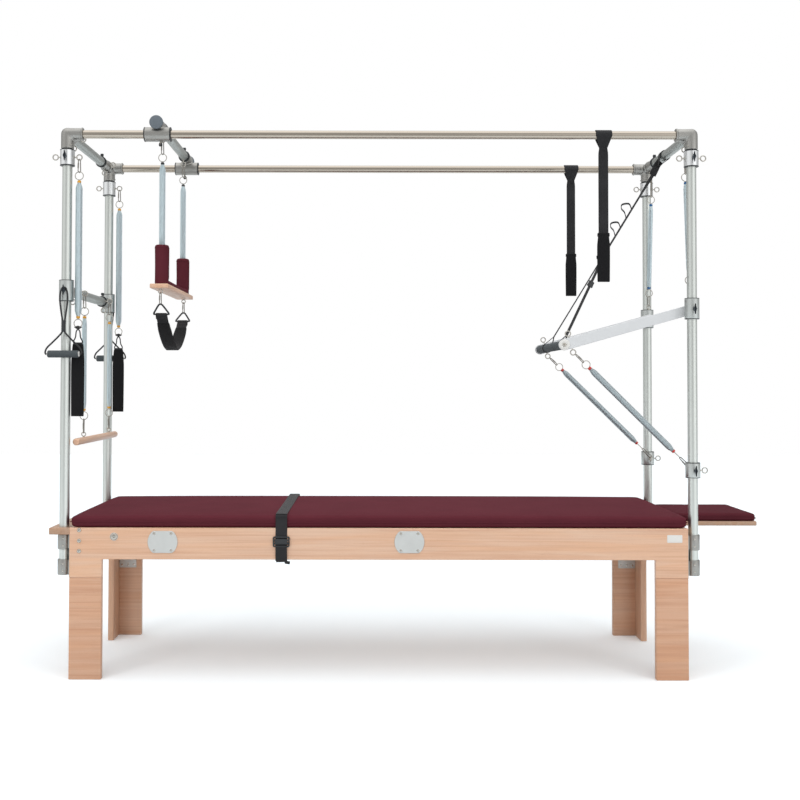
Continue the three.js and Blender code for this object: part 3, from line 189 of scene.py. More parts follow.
class TrapezeTableSizes(bpy.types.PropertyGroup):
    """The sizes of details that the frame doesn't give."""

    grain: size_choice("Grain", "Width of a streak in the beech", 9)
    vinyl_grain: size_choice("Vinyl grain", "Width of a cell of the vinyl's embossed grain", 1.6)
    weave: size_choice("Weave", "Size of the webbing's weave, whose ribs are 0.63 of it apart", 2.2)
    board_edge: size_choice("Board edge", "Radius of the wooden boards' edges", 2.5)
    coil_pitch: size_choice("Coil pitch", "Distance between the turns of a spring", 2.75)


def colours():
    return bpy.context.scene.trapeze_table_colours


def sizes():
    return bpy.context.scene.trapeze_table_sizes


# Finishes


def feed(node, inputs):
    """Gives each named input of a node a value, or what another node puts out."""
    for name, value in inputs.items():
        if isinstance(value, bpy.types.Node):
            value = next(output for output in value.outputs if output.enabled)
        if isinstance(value, bpy.types.NodeSocket):
            node.id_data.links.new(value, node.inputs[name])
        else:
            node.inputs[name].default_value = value


def add_node(tree, kind, inputs=None, **settings):
    """Adds a node with its settings and what its inputs take."""
    node = tree.nodes.new(kind)
    for name, value in settings.items():
        setattr(node, name, value)
    feed(node, inputs or {})
    return node


def begin(name, colour, roughness, metallic=0.0):
    """Starts a material and gives its node tree and its shader."""
    made = bpy.data.materials.new(name)
    made.use_nodes = True
    shader = made.node_tree.nodes["Principled BSDF"]
    feed(shader, {"Base Color": (*colour, 1), "Roughness": roughness, "Metallic": metallic})
    return made.node_tree, shader


def pattern_space(tree, *spans):
    """The surface's coordinates, counted in a pattern's size: one in millimetres, or one for each axis."""
    place = add_node(tree, "ShaderNodeTexCoord").outputs["Object"]
    scale = [1 / (span * MM) for span in (spans * 3)[:3]]
    return add_node(tree, "ShaderNodeMapping", {"Vector": place, "Scale": scale})


def along(axis, length, width):
    """The spans of a pattern that is drawn out along one axis."""
    return [length if i == axis else width for i in range(3)]


def shade(colour, share, lift=0.0):
    """A colour taken by a share, or by one for each of red, green and blue."""
    shares = share if isinstance(share, tuple) else (share, share, share)
    return (*[c * s + lift for c, s in zip(colour, shares)], 1)


def varied(tree, pattern, colour, darkest, roughness, spread):
    """A colour that darkens to a share with a pattern, and a roughness that varies with it."""
    base = add_node(tree, "ShaderNodeMix", {
        0: pattern, 6: shade(colour, 1), 7: shade(colour, darkest),
    }, data_type="RGBA")
    sheen = add_node(tree, "ShaderNodeMapRange", {
        "Value": pattern, "From Min": 0.3, "From Max": 0.7,
        "To Min": roughness + spread[0], "To Max": roughness + spread[1],
    })
    return {"Base Color": base, "Roughness": sheen}


def lacquered_beech(name, axis, tint=1.0):
    """Planed beech under a clear satin lacquer: long soft streaks, short dark flecks, a dull sheen."""
    tree, shader = begin(name, colours().beech, 0.42)
    streaks = add_node(tree, "ShaderNodeTexNoise", {
        "Vector": pattern_space(tree, *along(axis, 420, sizes().grain / MM)), "Scale": 1, "Detail": 5,
        "Roughness": 0.6, "Distortion": 0.35,
    })
    figure = add_node(tree, "ShaderNodeTexNoise", {
        "Vector": pattern_space(tree, *along(axis, 700, 48)), "Scale": 1, "Detail": 3, "Distortion": 1.1,
    })
    # Beech's flecks are about half a millimetre wide; they are drawn at 1.3 mm so that they show
    flecks = add_node(tree, "ShaderNodeTexNoise", {
        "Vector": pattern_space(tree, *along(axis, 9, 1.3)), "Scale": 1, "Detail": 2,
    })
    pale = shade(colours().beech, tint)
    dark = shade(colours().beech_streak, tint)
    share = add_node(tree, "ShaderNodeMapRange", {"Value": figure, "From Min": 0.35, "From Max": 0.68})
    warmer = shade(pale, (1, 0.9, 0.8))
    wood = add_node(tree, "ShaderNodeMix", {0: share, 6: pale, 7: warmer}, data_type="RGBA")
    for pattern, low, high, most in ((streaks, 0.4, 0.78, 0.75), (flecks, 0.6, 0.74, 0.4)):
        share = add_node(tree, "ShaderNodeMapRange", {
            "Value": pattern, "From Min": low, "From Max": high, "To Max": most,
        })
        wood = add_node(tree, "ShaderNodeMix", {0: share, 6: wood, 7: dark}, data_type="RGBA")
    sheen = add_node(tree, "ShaderNodeMapRange", {
        "Value": streaks, "From Min": 0.3, "From Max": 0.8, "To Min": 0.38, "To Max": 0.5,
    })
    pores = add_node(tree, "ShaderNodeBump", {"Height": streaks, "Distance": 0.12 * MM, "Strength": 0.5})
    feed(shader, {
        "Base Color": wood, "Roughness": sheen, "Normal": pores, "Coat Weight": 0.15, "Coat Roughness": 0.3,
    })


def grained_vinyl(name, tint=1.0):
    """Upholstery vinyl calendered with a fine leather grain: an even deep red with a soft broken sheen."""
    colour = [c * tint for c in colours().vinyl]
    tree, shader = begin(name, colour, 0.78)
    # The grain of such vinyl is under a millimetre; its default is coarser so that it shows
    cell = sizes().vinyl_grain / MM
    grain = add_node(tree, "ShaderNodeTexVoronoi", {
        "Vector": pattern_space(tree, cell), "Scale": 1,
    }, feature="SMOOTH_F1")
    cloud = add_node(tree, "ShaderNodeTexNoise", {
        "Vector": pattern_space(tree, 160), "Scale": 1, "Detail": 4,
    })
    share = add_node(tree, "ShaderNodeMapRange", {
        "Value": cloud, "From Min": 0.3, "From Max": 0.7, "To Max": 0.6,
    })
    base = add_node(tree, "ShaderNodeMix", {
        0: share, 6: shade(colour, 1), 7: shade(colour, 0.8),
    }, data_type="RGBA")
    dull = add_node(tree, "ShaderNodeMapRange", {
        "Value": grain, "From Min": 0.1, "From Max": 0.7, "To Min": 0.72, "To Max": 0.86,
    })
    raised = add_node(tree, "ShaderNodeBump", {"Height": grain, "Distance": 0.18 * MM, "Strength": 0.6})
    feed(shader, {"Base Color": base, "Roughness": dull, "Normal": raised, "Specular IOR Level": 0.04})


def woven_webbing(name, along_axis, across_axis):
    """Nylon webbing woven in a plain rib: near black with rows of threads that catch a little light."""
    tree, shader = begin(name, colours().webbing, 0.7)
    # The ribs of real webbing are 1 mm apart; they are drawn at 1.4 mm so that they show
    weave = sizes().weave / MM
    space = pattern_space(tree, weave)
    rows = [
        add_node(tree, "ShaderNodeTexWave", {
            "Vector": space, "Scale": 0.5, "Distortion": 0.6, "Detail": 1,
        }, wave_type="BANDS", bands_direction=axis)
        for axis in (along_axis, across_axis)
    ]
    ribs = add_node(tree, "ShaderNodeMath", dict(enumerate(rows)), operation="MAXIMUM")
    fuzz = add_node(tree, "ShaderNodeTexNoise", {
        "Vector": pattern_space(tree, 0.8), "Scale": 1, "Detail": 3,
    })
    lit = add_node(tree, "ShaderNodeMath", {0: ribs, 1: fuzz}, operation="MULTIPLY")
    share = add_node(tree, "ShaderNodeMapRange", {"Value": lit, "From Min": 0.2, "From Max": 0.7})
    base = add_node(tree, "ShaderNodeMix", {
        0: share, 6: shade(colours().webbing, 1), 7: shade(colours().webbing, 2, 0.004),
    }, data_type="RGBA")
    raised = add_node(tree, "ShaderNodeBump", {"Height": ribs, "Distance": 0.5 * MM, "Strength": 0.7})
    feed(shader, {
        "Base Color": base, "Normal": raised, "Specular IOR Level": 0.35, "Sheen Weight": 0.08,
        "Sheen Roughness": 0.4,
    })


def brushed_fleece(name):
    """Looped nylon pile on the padded sleeves: deep black with a soft uneven nap."""
    tree, shader = begin(name, shade(colours().webbing, 0.85)[:3], 0.95)
    # The loops are a millimetre across; they are drawn at 2.4 mm so that they show
    nap = add_node(tree, "ShaderNodeTexNoise", {
        "Vector": pattern_space(tree, 2.4), "Scale": 1, "Detail": 5, "Roughness": 0.7,
    })
    share = add_node(tree, "ShaderNodeMapRange", {"Value": nap, "From Min": 0.35, "From Max": 0.75})
    base = add_node(tree, "ShaderNodeMix", {
        0: share, 6: shade(colours().webbing, 0.6), 7: shade(colours().webbing, 1.5, 0.002),
    }, data_type="RGBA")
    raised = add_node(tree, "ShaderNodeBump", {"Height": nap, "Distance": 1.2 * MM, "Strength": 0.9})
    feed(shader, {
        "Base Color": base, "Normal": raised, "Specular IOR Level": 0.2, "Sheen Weight": 0.1,
        "Sheen Roughness": 0.5,
    })


def braided_cord(name):
    """Braided nylon cord: black with a fine diagonal plait."""
    tree, shader = begin(name, colours().webbing, 0.6)
    # The plait's strands are a millimetre wide; they are drawn at 1.9 mm so that they show
    plait = add_node(tree, "ShaderNodeTexWave", {
        "Vector": pattern_space(tree, 2.6), "Scale": 0.5, "Distortion": 1.5, "Detail": 1,
    }, wave_type="BANDS", bands_direction="DIAGONAL")
    base = add_node(tree, "ShaderNodeMix", {
        0: plait, 6: shade(colours().webbing, 1), 7: shade(colours().webbing, 2.2, 0.01),
    }, data_type="RGBA")
    raised = add_node(tree, "ShaderNodeBump", {"Height": plait, "Distance": 0.4 * MM, "Strength": 0.8})
    feed(shader, {"Base Color": base, "Normal": raised})


def drawn_metal(name, colour, roughness, axis):
    """Tube drawn through a die: soft streaks along its length change its sheen a little."""
    tree, shader = begin(name, colour, roughness, 1.0)
    # The lines of the die are hair-fine; they are drawn as streaks 6 mm wide so that they show
    drawn = add_node(tree, "ShaderNodeTexNoise", {
        "Vector": pattern_space(tree, *along(axis, 420, 6)), "Scale": 1, "Detail": 2,
    })
    skin_look = varied(tree, drawn, colour, 0.94, roughness, (-0.03, 0.05))
    raised = add_node(tree, "ShaderNodeBump", {"Height": drawn, "Distance": 0.02 * MM, "Strength": 0.03})
    feed(shader, {**skin_look, "Normal": raised})


def cast_metal(name, colour, roughness, metallic=1.0):
    """Coated cast aluminium, blued steel or plated sheet: a satin metal with a faint pebbling."""
    tree, shader = begin(name, colour, roughness, metallic)
    pebble = add_node(tree, "ShaderNodeTexNoise", {
        "Vector": pattern_space(tree, 7), "Scale": 1, "Detail": 2,
    })
    stain = add_node(tree, "ShaderNodeTexNoise", {
        "Vector": pattern_space(tree, 45), "Scale": 1, "Detail": 3,
    })
    skin_look = varied(tree, stain, colour, 0.88, roughness, (-0.05, 0.08))
    raised = add_node(tree, "ShaderNodeBump", {"Height": pebble, "Distance": 0.1 * MM, "Strength": 0.1})
    feed(shader, {**skin_look, "Normal": raised})


def plated_wire(name, colour, roughness):
    """Steel plated with zinc or nickel: a clean metal whose sheen clouds a little."""
    tree, shader = begin(name, colour, roughness, 1.0)
    cloud = add_node(tree, "ShaderNodeTexNoise", {
        "Vector": pattern_space(tree, 14), "Scale": 1, "Detail": 3,
    })
    feed(shader, varied(tree, cloud, colour, 0.88, roughness, (-0.04, 0.06)))


def moulded_plastic(name, colour, roughness, pebble=3):
    """Injection-moulded or dipped plastic, or a powder coat: an even colour with a fine matt texture."""
    tree, shader = begin(name, colour, roughness)
    # The texture of such a skin is about half a millimetre; it is drawn coarser so that it shows
    texture = add_node(tree, "ShaderNodeTexNoise", {
        "Vector": pattern_space(tree, pebble), "Scale": 1, "Detail": 2,
    })
    skin_look = varied(tree, texture, colour, 0.95, roughness, (-0.06, 0.06))
    raised = add_node(tree, "ShaderNodeBump", {"Height": texture, "Distance": 0.05 * MM, "Strength": 0.1})
    feed(shader, {**skin_look, "Normal": raised})


def cell_foam(name):
    """Skinless closed-cell foam: a dull blue-grey, pitted all over by its cells."""
    tree, shader = begin(name, colours().foam, 0.9)
    # The cells are half a millimetre across; they are drawn at 2.6 mm so that they show
    cells = add_node(tree, "ShaderNodeTexVoronoi", {
        "Vector": pattern_space(tree, 2.6), "Scale": 1,
    })
    share = add_node(tree, "ShaderNodeMapRange", {
        "Value": cells, "From Min": 0.1, "From Max": 0.55, "To Min": 1, "To Max": 0,
    })
    base = add_node(tree, "ShaderNodeMix", {
        0: share, 6: shade(colours().foam, 1), 7: shade(colours().foam, 0.7),
    }, data_type="RGBA")
    raised = add_node(tree, "ShaderNodeBump", {"Height": cells, "Distance": 0.5 * MM, "Strength": 0.7})
    feed(shader, {"Base Color": base, "Normal": raised})


def end_grain(name):
    """The sawn end of the dowel: short streaks of its rings cut across, darker than the side."""
    tree, shader = begin(name, colours().beech_streak, 0.55)
    year_rings = add_node(tree, "ShaderNodeTexNoise", {
        "Vector": pattern_space(tree, 2, 9, 5), "Scale": 1, "Detail": 3,
    })
    base = add_node(tree, "ShaderNodeMix", {
        0: year_rings, 6: shade(colours().beech, 1), 7: shade(colours().beech_streak, 1),
    }, data_type="RGBA")
    raised = add_node(tree, "ShaderNodeBump", {"Height": year_rings, "Distance": 0.1 * MM, "Strength": 0.4})
    feed(shader, {"Base Color": base, "Normal": raised})


def studio_floor(name):
    """A seamless white sheet: it keeps the object's shadow and is lifted to pure white where it is lit.

    Light that bounces from it is held back, so that sides and undersides stay darker than tops.
    """
    tree, shader = begin(name, colours().floor, 0.9)
    rays = add_node(tree, "ShaderNodeLightPath").outputs
    seen = rays["Is Camera Ray"]
    for ray in ("Is Glossy Ray", "Is Transmission Ray"):
        seen = add_node(tree, "ShaderNodeMath", {0: seen, 1: rays[ray]}, operation="MAXIMUM")
    base = add_node(tree, "ShaderNodeMix", {
        0: seen, 6: shade(colours().floor, 0.72), 7: shade(colours().floor, 1),
    }, data_type="RGBA")
    lift = add_node(tree, "ShaderNodeMath", {0: seen, 1: 0.2}, operation="MULTIPLY")
    feed(shader, {
        "Base Color": base, "Emission Color": (*hex_colour("F0FAFF"), 1), "Emission Strength": lift,
        "Specular IOR Level": 0,
    })


# The shares of red, green and blue that the ruddier boards keep, and the painted shade that darkens the
# ledge and the extension board
RUDDY = (0.86, 0.77, 0.71)
PAINTED_SHADE = (0.61, 0.61, 0.6)

FINISHES = {
    "lacquered_beech_x": lambda name: lacquered_beech(name, 0),
    "lacquered_beech_y": lambda name: lacquered_beech(name, 1),
    "lacquered_beech_z": lambda name: lacquered_beech(name, 2),
    "ruddy_beech_x": lambda name: lacquered_beech(name, 0, RUDDY),
    "ruddy_beech_z": lambda name: lacquered_beech(name, 2, RUDDY),
    # Beech darkened by painted shade, for the ledge and the extension board under the extension cushion
    "painted_shade_beech": lambda name: lacquered_beech(name, 1, PAINTED_SHADE),
    "beech_end_grain": end_grain,
    "grained_vinyl": grained_vinyl,
    # The extension's cover: the same vinyl darkened by painted shade
    "painted_shade_vinyl": lambda name: grained_vinyl(name, 0.8),
    "webbing_upright": lambda name: woven_webbing(name, "Z", "Y"),
    "webbing_lengthways": lambda name: woven_webbing(name, "Z", "X"),
    "webbing_belt": lambda name: woven_webbing(name, "X", "Y"),
    "brushed_fleece": brushed_fleece,
    "braided_cord": braided_cord,
    "anodised_upright": lambda name: drawn_metal(name, colours().anodised, 0.36, 2),
    # The tubes that run across: the posts' anodised colour taken to 0.62 as painted shade
    "anodised_across_painted_shade": lambda name: drawn_metal(name, [c * 0.62 for c in colours().anodised], 0.46, 1),
    "polished_stainless": lambda name: drawn_metal(name, colours().stainless, 0.15, 0),
    "anodised_collar": lambda name: drawn_metal(name, hex_colour("E2E4E5"), 0.26, 2),
    "anodised_sleeve": lambda name: drawn_metal(name, hex_colour("BFC3C1"), 0.4, 2),
    "cast_aluminium": lambda name: cast_metal(name, colours().casting, 0.42),
    "bright_zinc": lambda name: plated_wire(name, colours().zinc, 0.44),
    # The push springs' zinc, darker than the other springs' as painted shade on their slanting windings
    "painted_shade_zinc": lambda name: plated_wire(name, hex_colour("B7C2C6"), 0.4),
    "nickel_steel": lambda name: plated_wire(name, hex_colour("B9B5AD"), 0.22),
    # The snap hooks: the nickel steel darkened as painted shade on their thin wire
    "snap_hook_painted_shade_steel": lambda name: plated_wire(name, hex_colour("8F8B84"), 0.3),
    "blued_steel": lambda name: cast_metal(name, hex_colour("4A5056"), 0.35),
    "light_steel_plate": lambda name: cast_metal(name, hex_colour("CFD1CF"), 0.5, 0.4),
    "white_powder_coat": lambda name: moulded_plastic(name, hex_colour("DCDEE0"), 0.45, 9),
    "black_plastic": lambda name: moulded_plastic(name, hex_colour("24272A"), 0.45),
    "slate_plastic": lambda name: moulded_plastic(name, hex_colour("666F77"), 0.5),
    "white_plastic": lambda name: moulded_plastic(name, hex_colour("E6E5E1"), 0.4),
    "cell_foam": cell_foam,
    "dipped_yellow": lambda name: moulded_plastic(name, colours().arm_tip, 0.4),
    "dipped_black": lambda name: moulded_plastic(name, hex_colour("2A2C2F"), 0.4),
    "dipped_red": lambda name: moulded_plastic(name, colours().push_tip, 0.4),
    "dipped_blue": lambda name: moulded_plastic(name, colours().counter_tip, 0.4),
    "studio_floor": studio_floor,
}


def finish(name):
    """A finish by its name, made when it is first asked for."""
    if name not in bpy.data.materials:
        FINISHES[name](name)
    return bpy.data.materials[name]


# Shapes: each function gives points and faces


def turns(count):
    return [2 * math.pi * i / count for i in range(count)]


def skin(rings, closed=False):
    """The faces between rings of points, with a flat cap at each end of an open run."""
    count = len(rings[0])
    points = [point for ring in rings for point in ring]
    faces = []
    for r in range(len(rings) if closed else len(rings) - 1):
        here = r * count
        there = (r + 1) % len(rings) * count
        for k in range(count):
            after = (k + 1) % count
            faces.append((here + k, here + after, there + after, there + k))
    if not closed:
        faces.append(tuple(reversed(range(count))))
        faces.append(tuple(range(len(points) - count, len(points))))
    return points, faces


def turned(profile, start, direction=Z, sides=40, closed=False):
    """A profile of (radius, height) points turned about the line through start."""
    turn = Z.rotation_difference(direction)
    rings = [
        [start + turn @ Vector((radius * math.cos(a), radius * math.sin(a), height)) for a in turns(sides)]
        for radius, height in profile
    ]
    return skin(rings, closed)


def rod(start, end, radius, edge=1.0, sides=32):
    """A rod with rounded ends."""
    length = (end - start).length
    third = edge * 0.3
    profile = [(radius - edge, 0), (radius - third, third), (radius, edge)]
    profile += [(r, length - h) for r, h in reversed(profile)]
    return turned(profile, start, (end - start).normalized(), sides)


def pipe(start, end, outer, bore, edge=0.8):
    """A tube with an open bore and softened ends."""
    length = (end - start).length
    profile = [
        (bore, 0), (outer - edge, 0), (outer, edge),
        (outer, length - edge), (outer - edge, length), (bore, length),
    ]
    return turned(profile, start, (end - start).normalized(), 48, closed=True)


def bead(centre, direction, radius, height, wall):
    """A raised lip round a tube, as deep as its wall."""
    lip = height * 0.3
    profile = [
        (radius - wall, 0), (radius - lip, 0), (radius, lip),
        (radius, height - lip), (radius - lip, height), (radius - wall, height),
    ]
    return turned(profile, centre - direction * height / 2, direction, 48, closed=True)


def tangents(path, closed):
    """The direction of a path at each of its points."""
    count = len(path)
    made = []
    for i in range(count):
        before = path[i - 1] if closed or i else path[0]
        after = path[(i + 1) % count] if closed or i < count - 1 else path[-1]
        made.append((after - before).normalized())
    return made


def wire(path, radius, sides, closed=False):
    """A round wire or cord along a path."""
    across = None
    rings = []
    for point, tangent in zip(path, tangents(path, closed)):
        across = across or tangent.orthogonal()
        across = (across - tangent * across.dot(tangent)).normalized()
        other = tangent.cross(across)
        rings.append([point + (across * math.cos(a) + other * math.sin(a)) * radius for a in turns(sides)])
    return skin(rings, closed)


def strap(path, across, width, thickness, closed=False):
    """A flat strap with soft edges along a path, of one width and side or of one for each point."""
    widths = width if isinstance(width, list) else [width] * len(path)
    sides = across if isinstance(across, list) else [across] * len(path)
    rings = []
    deep = thickness / 2
    for point, tangent, wide, side in zip(path, tangents(path, closed), widths, sides):
        side = (side - tangent * side.dot(tangent)).normalized()
        normal = tangent.cross(side)
        half = wide / 2
        flat = half - min(deep, half / 2)
        section = [
            (-flat, -deep), (0, -deep), (flat, -deep), (half, 0),
            (flat, deep), (0, deep), (-flat, deep), (-half, 0),
        ]
        rings.append([point + side * a + normal * b for a, b in section])
    return skin(rings, closed)


def smooth_path(points, steps, closed=False):
    """A smooth curve through points."""
    count = len(points)
    made = []
    for i in range(count if closed else count - 1):
        a = points[i - 1] if closed or i else points[0]
        b = points[i]
        c = points[(i + 1) % count]
        d = points[(i + 2) % count] if closed or i < count - 2 else points[-1]
        bend, twist = a * 2 - b * 5 + c * 4 - d, b * 3 - a - c * 3 + d
        for k in range(steps):
            t = k / steps
            made.append((b * 2 + (c - a) * t + bend * t ** 2 + twist * t ** 3) / 2)
    return made if closed else made + [points[-1]]


def board(lowest, highest, edge=None):
    """A planed board with rounded edges."""
    edge = sizes().board_edge / MM if edge is None else edge
    shape = bmesh.new()
    bmesh.ops.create_cube(shape, size=1)
    size = highest - lowest
    for vertex in shape.verts:
        vertex.co = (lowest + highest) / 2 + Vector(a * b for a, b in zip(vertex.co, size))
    bmesh.ops.bevel(shape, geom=shape.edges[:], offset=edge, segments=3, profile=0.5, affect="EDGES")
    shape.verts.index_update()
    points = [vertex.co.copy() for vertex in shape.verts]
    faces = [[vertex.index for vertex in face.verts] for face in shape.faces]
    shape.free()
    return points, faces


def between(*points):
    """The lowest and highest corners that hold some points."""
    return Vector(map(min, *points)), Vector(map(max, *points))


def inset(outline, distance):
    """An outline moved inwards by a distance."""
    count = len(outline)
    pairs = [(outline[i - 1], outline[i]) for i in range(count)]
    sign = 1 if sum(a[0] * b[1] - b[0] * a[1] for a, b in pairs) > 0 else -1
    made = []
    for i in range(count):
        here = Vector(outline[i])
        into = (here - Vector(outline[i - 1])).normalized()
        out = (Vector(outline[(i + 1) % count]) - here).normalized()
        normals = [Vector((-edge.y, edge.x)) * sign for edge in (into, out)]
        mitre = (normals[0] + normals[1]) / max(1 + normals[0].dot(normals[1]), 0.3)
        made.append(here + mitre * distance)
    return made


def plate(outline, origin, right, ahead, thickness, edge=1.0):
    """A flat outline made thick with rounded rims. It stands on origin and grows along its normal."""
    normal = right.cross(ahead)
    rings = []
    for height, cut in ((0, edge), (edge, 0), (thickness - edge, 0), (thickness, edge)):
        ring = inset(outline, cut) if cut else [Vector(point) for point in outline]
        rings.append([origin + right * a + ahead * b + normal * height for a, b in ring])
    return skin(rings)


def ellipse(half_width, half_height, count):
    return [(half_width * math.cos(a), half_height * math.sin(a)) for a in turns(count)]


def rounded(half_width, half_height, radius, steps=5):
    """The outline of a rectangle with round corners."""
    made = []
    for i, (sx, sy) in enumerate(((1, 1), (-1, 1), (-1, -1), (1, -1))):
        for k in range(steps + 1):
            a = (i + k / steps) * math.pi / 2
            x = sx * (half_width - radius) + radius * math.cos(a)
            made.append((x, sy * (half_height - radius) + radius * math.sin(a)))
    return made


def circle(centre, normal, radius, count=32):
    turn = Z.rotation_difference(normal)
    return [centre + turn @ Vector((radius * math.cos(a), radius * math.sin(a), 0)) for a in turns(count)]


def ring(centre, normal, radius, thickness):
    return wire(circle(centre, normal, radius), thickness, 10, closed=True)


def eye_at(base, direction, kind=EYEBOLT):
    """The centre of an eyebolt's ring."""
    return base + direction * (kind["shank"] + kind["radius"])


def eyebolt(base, direction, normal, kind=EYEBOLT):
    """A forged eyebolt: its flange, shank, neck and ring."""
    size = kind["wire"]
    shank = kind["shank"]
    profile = [
        (size * 2, -2), (size * 2, 0.8), (size * 1.7, 1.6), (size * 0.95, 2),
        (size * 0.9, shank * 0.6), (size * 1.25, shank), (size * 0.8, shank + size),
    ]
    eye = ring(eye_at(base, direction, kind), normal, kind["radius"], size)
    return turned(profile, base, direction, 16), eye


def snap_hook(start, end, normal, half_start, half_end):
    """A pear-shaped snap hook of bent wire between the centres of its two round ends, with its gate.

    It hangs with a twist, since the rings that it joins stand square to each other.
    """
    direction = (end - start).normalized()
    across = Quaternion(direction, HOOK_TWIST) @ direction.cross(normal)
    path = []
    for centre, half, sign in ((start, half_start, 1), (end, half_end, -1)):
        for i in range(11):
            a = math.pi * i / 10
            path.append(centre + across * math.cos(a) * half * sign - direction * math.sin(a) * half * sign)
    gate = [
        start.lerp(end, share) + across * (half_start + (half_end - half_start) * share)
        for share in (0.25, 0.75)
    ]
    return wire(path, HOOK_WIRE, 8, closed=True), rod(*gate, HOOK_WIRE * 1.45, 0.6, 10)


def hook_between(eye, direction, normal, reach, kind=EYEBOLT):
    """A snap hook that hangs in an eye and holds a wire at a reach from the eye's centre."""
    start = eye + direction * (kind["radius"] - kind["wire"] - HOOK_WIRE - 0.3 + kind["half"])
    end = eye + direction * (reach + RING_WIRE + HOOK_WIRE - 1 - kind["half"])
    return snap_hook(start, end, normal, kind["half"] * 0.8, kind["half"])


def coil(start, end, radius):
    """A close winding of wire that narrows to its plugs at both ends."""
    steps = 16
    length = (end - start).length
    turn = Z.rotation_difference((end - start).normalized())
    count = int((length - 2 * COIL_WIRE) / (sizes().coil_pitch / MM) * steps)
    path = []
    for i in range(count + 1):
        height = COIL_WIRE + (length - 2 * COIL_WIRE) * i / count
        share = min(1, height / TAPER, (length - height) / TAPER)
        out = PLUG_RADIUS + (radius - PLUG_RADIUS) * share * share * (3 - 2 * share) - COIL_WIRE
        a = 2 * math.pi * i / steps
        path.append(start + turn @ Vector((out * math.cos(a), out * math.sin(a), height)))
    return wire(path, COIL_WIRE, 8)


def tip(place, direction):
    """The dipped tip at the end of a winding, standing outwards from it."""
    widest = PLUG_RADIUS + 0.9
    profile = [(3, 6), (PLUG_RADIUS - 1, 6), (PLUG_RADIUS + 0.6, 4.6), (widest, 0), (widest, -3), (5, -3)]
    return turned(profile, place, direction, 20, closed=True)


def lozenge_knob(shape, x, surface, z, side):
    """A lozenge-shaped lock knob of dark steel on its stem, standing out to the front or the back."""
    out = Y * side
    base = Vector((x, surface, z))
    shape.add("blued_steel", rod(base - out * 2, base + out * 13, 6, 0.5, 20))
    outline = []
    corners = [Vector(corner) for corner in ((7, 0), (0, 23), (-7, 0), (0, -23))]
    for a, b in zip(corners, corners[1:] + corners[:1]):
        for t in (0.06, 0.3, 0.5, 0.7, 0.94):
            bow = 1 - 0.12 * math.sin(math.pi * t)
            outline.append(tuple(a.lerp(b, t) * bow))
    right = X * side
    origin = base + out * 11.5
    rings = []
    for height, cut in ((0, 1.2), (1.2, 0), (4.5, 0), (7.6, 2.6)):
        ring_points = inset(outline, cut) if cut else [Vector(p) for p in outline]
        rings.append([origin - right * p[0] + Z * p[1] + out * height for p in ring_points])
    shape.add("blued_steel", skin(rings))


def thumbscrew(shape, base, direction):
    """A black thumbscrew: a steel stem and a moulded wing that lies along the table."""
    shape.add("nickel_steel", rod(base - direction * 3, base + direction * 11, 2.6, 0.4, 16))
    other = direction.cross(X)
    wing = rounded(7, 6, 3.5)
    shape.add("black_plastic", plate(wing, base + direction * 12 - other * 3, X, direction, 6, 1.4))
    shape.add("black_plastic", rod(base + direction * 5, base + direction * 9, 5, 0.8, 20))


class Shape:
    """The faces of one piece, each with its finish."""

    def __init__(self):
        self.points = []
        self.faces = []
        self.finishes = []

    def add(self, finish_name, *parts):
        for points, faces in parts:
            start = len(self.points)
            self.points.extend(points)
            self.faces.extend([start + i for i in face] for face in faces)
            self.finishes.extend([finish_name] * len(faces))
        return self

    def mesh(self, name):
        mesh = bpy.data.meshes.new(name)
        mesh.from_pydata([point * MM for point in self.points], [], self.faces)
        names = list(dict.fromkeys(self.finishes))
        for each in names:
            mesh.materials.append(finish(each))
        places = {each: i for i, each in enumerate(names)}
        mesh.polygons.foreach_set("material_index", [places[each] for each in self.finishes])
        shape = bmesh.new()
        shape.from_mesh(mesh)
        bmesh.ops.recalc_face_normals(shape, faces=shape.faces[:])
        shape.to_mesh(mesh)
        shape.free()
        mesh.polygons.foreach_set("use_smooth", [True] * len(mesh.polygons))
        mesh.set_sharp_from_angle(angle=math.radians(38))
        mesh.update()
        return mesh

    def piece(self, name, body, slot, *nodes):
        made = bpy.data.objects.new(name, self.mesh(name))
        bpy.context.scene.collection.objects.link(made)
        if body:
            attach(made, body)
        if nodes:
            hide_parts(*nodes)
        return made


def refine(piece, *modifiers):
    """Adds modifiers to a piece and keeps the mesh that they give."""
    for kind, settings in modifiers:
        made = piece.modifiers.new(kind.lower(), kind)
        for name, value in settings.items():
            setattr(made, name, value)
    bpy.context.view_layer.update()
    shown = piece.evaluated_get(bpy.context.evaluated_depsgraph_get())
    solid = bpy.data.meshes.new_from_object(shown)
    finishes = list(piece.data.materials)
    piece.modifiers.clear()
    piece.data = solid
    if not len(solid.materials):
        for each in finishes:
            solid.materials.append(each)
    solid.polygons.foreach_set("use_smooth", [True] * len(solid.polygons))


def fuse(piece, voxel, rounds):
    """Runs a casting's overlapping bodies into one skin, with a fillet where they meet."""
    refine(
        piece, ("REMESH", {"mode": "VOXEL", "voxel_size": voxel * MM}),
        ("SMOOTH", {"iterations": rounds, "factor": 0.6}),
    )


SWELL_FRAMES = 20


